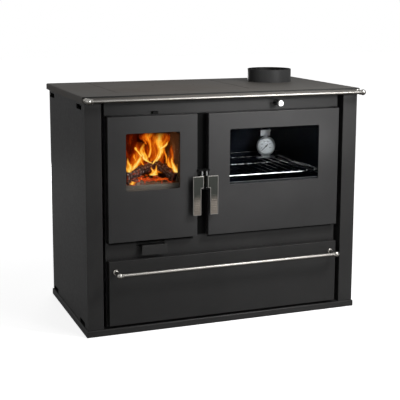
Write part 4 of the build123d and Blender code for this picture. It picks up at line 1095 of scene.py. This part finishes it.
bed = {
    "left": -354, "right": -157, "front": -197, "back": 140, "base": 448.2, "height": 30, "inset": 8,
    "lumps": 260, "lumpSize": (3.0, 7.5), "seed": 7,
    "hot": ((-250, -122, 30), (-196, -126, 31), (-305, -170, 14)),  # across, depth and reach
    "hotLumps": 34,  # in a patch that reaches this far
    "hotReach": 30,
}
noise.seed_set(bed["seed"])  # the same lumps and bark each run


def heap(x, y):
    # how high the ash bed stands at a place
    across = (x - bed["left"]) / (bed["right"] - bed["left"])
    depth = (y - bed["front"]) / (bed["back"] - bed["front"])
    dome = min(1, depth * 6, (1 - depth) * 4, across * 9, (1 - across) * 9)
    x, y = x * mm, y * mm
    bumps = noise.noise(Vector((x, y, 0)) * 28) * 0.22 + noise.noise(Vector((x, y, 3)) * 70) * 0.12
    return bed["base"] + bed["height"] * max(0.12, max(0, dome) ** 0.5 * (0.82 + bumps))


def ashBed():
    mesh = bmesh.new()

    def place(u, v):
        x = bed["left"] + (bed["right"] - bed["left"]) * u
        y = bed["front"] + (bed["back"] - bed["front"]) * v
        return Vector((x, y, heap(x, y)))

    wrapGrid(mesh, 44, 72, place)
    rim = [e for e in mesh.edges if e.is_boundary]
    for vert in vertsIn(bmesh.ops.extrude_edge_only(mesh, edges=rim)["geom"]):
        vert.co.z = bed["base"] * mm
    bmesh.ops.holes_fill(mesh, edges=[e for e in mesh.edges if e.is_boundary], sides=0)
    finishPiece(mesh, "ashBed", "ashGrey", "body", (), 60)


def emberLumps():
    # small lumps over the bed, the hot ones where the logs cross
    draw = random.Random(bed["seed"])
    inset, length = bed["inset"], bed["back"] - bed["front"]
    mesh = bmesh.new()
    places = []
    for i in range(bed["lumps"]):
        x = draw.uniform(bed["left"] + inset, bed["right"] - inset)
        places.append((x, bed["front"] + inset + (length - 2.5 * inset) * draw.random() ** 1.4))
    for cx, cy, reach in bed["hot"]:
        for i in range(int(bed["hotLumps"] * reach / bed["hotReach"])):
            places.append((draw.gauss(cx, reach / 2), draw.gauss(cy, reach / 2)))
    for x, y in places:
        size = draw.uniform(*bed["lumpSize"]) * mm
        turn = Matrix.Rotation(draw.uniform(0, 6.28), 4, "Z")
        turn @= Matrix.Rotation(draw.uniform(-0.6, 0.6), 4, "X")
        shape = [size * draw.uniform(*share) for share in ((0.8, 1.5), (0.7, 1.1), (0.55, 0.85))]
        at = Matrix.Translation((x * mm, y * mm, heap(x, y) * mm + size * 0.2))
        place = at @ turn @ Matrix.Diagonal((*shape, 1))
        made = bmesh.ops.create_icosphere(mesh, subdivisions=1, radius=1, matrix=place)["verts"]
        for vert in made:
            vert.co += noise.noise_vector(vert.co * 90) * size * 0.35
        if any(math.hypot(x - cx, y - cy) < reach * draw.uniform(0.7, 1.2) for cx, cy, reach in bed["hot"]):
            secondFinish(f for v in made for f in v.link_faces)
    finishPiece(mesh, "emberLumps", "emberGlow emberHot", "body", (), 25)


ashBed()
emberLumps()

# each log: its two ends, its radius, and how many blocks and sides its bark has
logs = {
    "logLeft": ((-322, -152, 493), (-184, -92, 522), 15, 12, 9),
    "logRight": ((-157, -186, 489), (-204, -112, 528), 14, 8, 9),
    "logBack": ((-335, 35, 500), (-172, -20, 506), 22, 12, 11),
    "stickFront": ((-320, -178, 476), (-282, -168, 483), 6, 4, 7),
}
bark = {"crackWidth": 1.5, "crackDepth": 2.2, "rough": 0.9, "swell": 0.22, "thickEnd": 1.05, "thinEnd": 0.85}


def charredLog(name, start, end, radius, blocks, sides, seed):
    # bark burnt into blocks, with the cracks between them as their own faces
    start, end, radius = Vector(start) * mm, Vector(end) * mm, radius * mm
    length = (end - start).length
    turn = (end - start).to_track_quat("Z", "Y").to_matrix().to_4x4()
    mesh = bmesh.new()
    bmesh.ops.create_cone(mesh, cap_ends=True, segments=sides, depth=length,
                          radius1=radius * bark["thickEnd"], radius2=radius * bark["thinEnd"],
                          matrix=Matrix.Translation((0, 0, length / 2)))
    for i in range(1, blocks):
        cut = length * (i + 0.25 * noise.noise(Vector((i, seed, 0)))) / blocks
        slant = (0.12 * noise.noise(Vector((seed, i, 1)) * 3), 0.1, 1)
        everything = mesh.verts[:] + mesh.edges[:] + mesh.faces[:]
        bmesh.ops.bisect_plane(mesh, geom=everything, plane_co=(0, 0, cut), plane_no=slant)
    for vert in mesh.verts:
        vert.co += noise.noise_vector(vert.co * 38 + Vector((seed, 0, 0))) * radius * bark["swell"]
    quads = [f for f in mesh.faces if len(f.verts) == 4]
    width, depth = bark["crackWidth"] * mm, bark["crackDepth"] * mm
    secondFinish(bmesh.ops.inset_individual(mesh, faces=quads, thickness=width, depth=depth)["faces"])
    for vert in mesh.verts:
        vert.co += noise.noise_vector(vert.co * 130 + Vector((0, seed, 0))) * bark["rough"] * mm
    mesh.transform(Matrix.Translation(start) @ turn)
    finishPiece(mesh, name, "charCrust charCrack", "body", (), 20)


for i, (name, log) in enumerate(logs.items()):
    charredLog(name, *log, i * 5.3 + 1)

# each tongue: its finish, how deep in the firebox it stands, and across, up and width at a few places
tongues = {
    "flameCentre": ("flameHot", -125, (-204, 532, 10), (-190, 560, 26), (-186, 582, 39),
                    (-194, 606, 53), (-190, 630, 56)),
    "flameLobe": ("flameHot", -130, (-188, 576, 22), (-170, 591, 17), (-163, 601, 4)),
    "flameCentreFoot": ("flameHot", -132, (-218, 526, 8), (-205, 545, 13), (-195, 565, 8)),
    "flameThinRight": ("flameMiddle", -136, (-173, 526, 5), (-171, 545, 10), (-178, 565, 9), (-176, 578, 3)),
    "flameLeft": ("flameHot", -118, (-214, 526, 13), (-240, 543, 29), (-250, 560, 37),
                  (-249, 576, 27), (-242, 597, 3)),
    "flameLeftArm": ("flameHot", -121, (-252, 551, 20), (-270, 576, 16), (-276, 586, 4)),
    "flameLeftThin": ("flameMiddle", -124, (-246, 520, 8), (-255, 540, 15), (-251, 558, 9)),
    "flameMiddle": ("flameMiddle", -98, (-221, 542, 10), (-216, 568, 18), (-216, 593, 24),
                    (-223, 615, 54), (-220, 628, 63)),
    "flameLow": ("flameHot", -160, (-308, 509, 21), (-305, 523, 31), (-310, 540, 17), (-312, 558, 3)),
    "flameLowRight": ("flameHot", -156, (-304, 513, 25), (-280, 532, 27), (-270, 550, 20), (-267, 564, 9)),
    "flameLowThin": ("flameMiddle", -150, (-281, 543, 7), (-286, 556, 12), (-288, 569, 4)),
    "flameRight": ("flameHot", -190, (-154, 504, 25), (-168, 527, 30), (-172, 546, 17), (-170, 560, 4)),
    "flameRightTip": ("flameHot", -194, (-154, 505, 19), (-151, 519, 12), (-156, 534, 3)),
    "flameRightSmall": ("flameMiddle", -186, (-174, 521, 14), (-182, 541, 16), (-179, 559, 3)),
    "flameTopRight": ("flameDeep", -110, (-174, 577, 15), (-163, 600, 44), (-163, 626, 46)),
    "flameTopLeft": ("flameDeep", -92, (-228, 587, 10), (-235, 608, 36), (-233, 627, 40)),
    "flameBehindLeft": ("flameDeep", -80, (-261, 517, 58), (-254, 557, 53), (-253, 592, 24)),
    "flameBehindMiddle": ("flameDeep", -60, (-186, 517, 58), (-187, 562, 76), (-186, 614, 82)),
    "flameBehindRight": ("flameDeep", -150, (-160, 513, 42), (-155, 554, 33), (-159, 592, 10)),
    "flameHazeLeft": ("flameDeep", -45, (-240, 487, 110), (-235, 540, 104), (-229, 593, 87)),
    # a faint sheet at the back of the firebox glows as painted firelight on the dimly lit bricks
    "flameHazeFar": ("firelightFaint", 30, (-254, 490, 96), (-252, 560, 96), (-250, 644, 92)),
    "flameHazeRight": ("flameDeep", -40, (-166, 481, 110), (-171, 545, 105), (-169, 610, 100)),
    "flameStar": ("flameHot", -172, (-227, 497, 42), (-230, 510, 20), (-237, 526, 4)),
    "flameStarRight": ("flameHot", -176, (-227, 499, 34), (-224, 512, 15), (-219, 532, 4)),
    "flameBit": ("flameHot", -182, (-304, 473, 32), (-304, 479, 30), (-302, 484, 15)),
}
ribbon = {"bow": 0.22, "ripple": 0.07, "waves": 9}


def flameTongue(name, finish, deep, *places):
    # a bowed ribbon that faces the camera, its edges rippling up its height
    mesh = bmesh.new()
    spine = [Vector((across, deep, up)) for across, up, wide in places]
    widths = [Vector((wide, 0, 0)) for across, up, wide in places]

    def place(u, v):
        wide = alongLine(widths, v).x
        bow = math.sin(u * math.pi) * wide * ribbon["bow"]
        ripple = ribbon["ripple"] * wide * math.sin(ribbon["waves"] * v + len(name) + 2 * u)
        return alongLine(spine, v) + toRight * (wide * (u - 0.5) + ripple) - level * bow

    wrapGrid(mesh, 8, 36, place)
    finishPiece(mesh, name, finish, "body", (), 80, False)


for name, tongue in tongues.items():
    flameTongue(name, *tongue)

fireLight = {"at": (-0.225, -0.135, 0.575), "power": 0.6, "color": (1.0, 0.36, 0.09), "radius": 0.045}
fireGlow = bpy.data.lights.new("fireGlow", "POINT")
fireGlow.energy = fireLight["power"]
fireGlow.color = fireLight["color"]
fireGlow.shadow_soft_size = fireLight["radius"]
fireLamp = bpy.data.objects.new("fireGlow", fireGlow)
fireLamp.location = fireLight["at"]
fireLamp.visible_camera = fireLamp.visible_transmission = fireLamp.visible_glossy = False
scene.collection.objects.link(fireLamp)
print("fire is made")
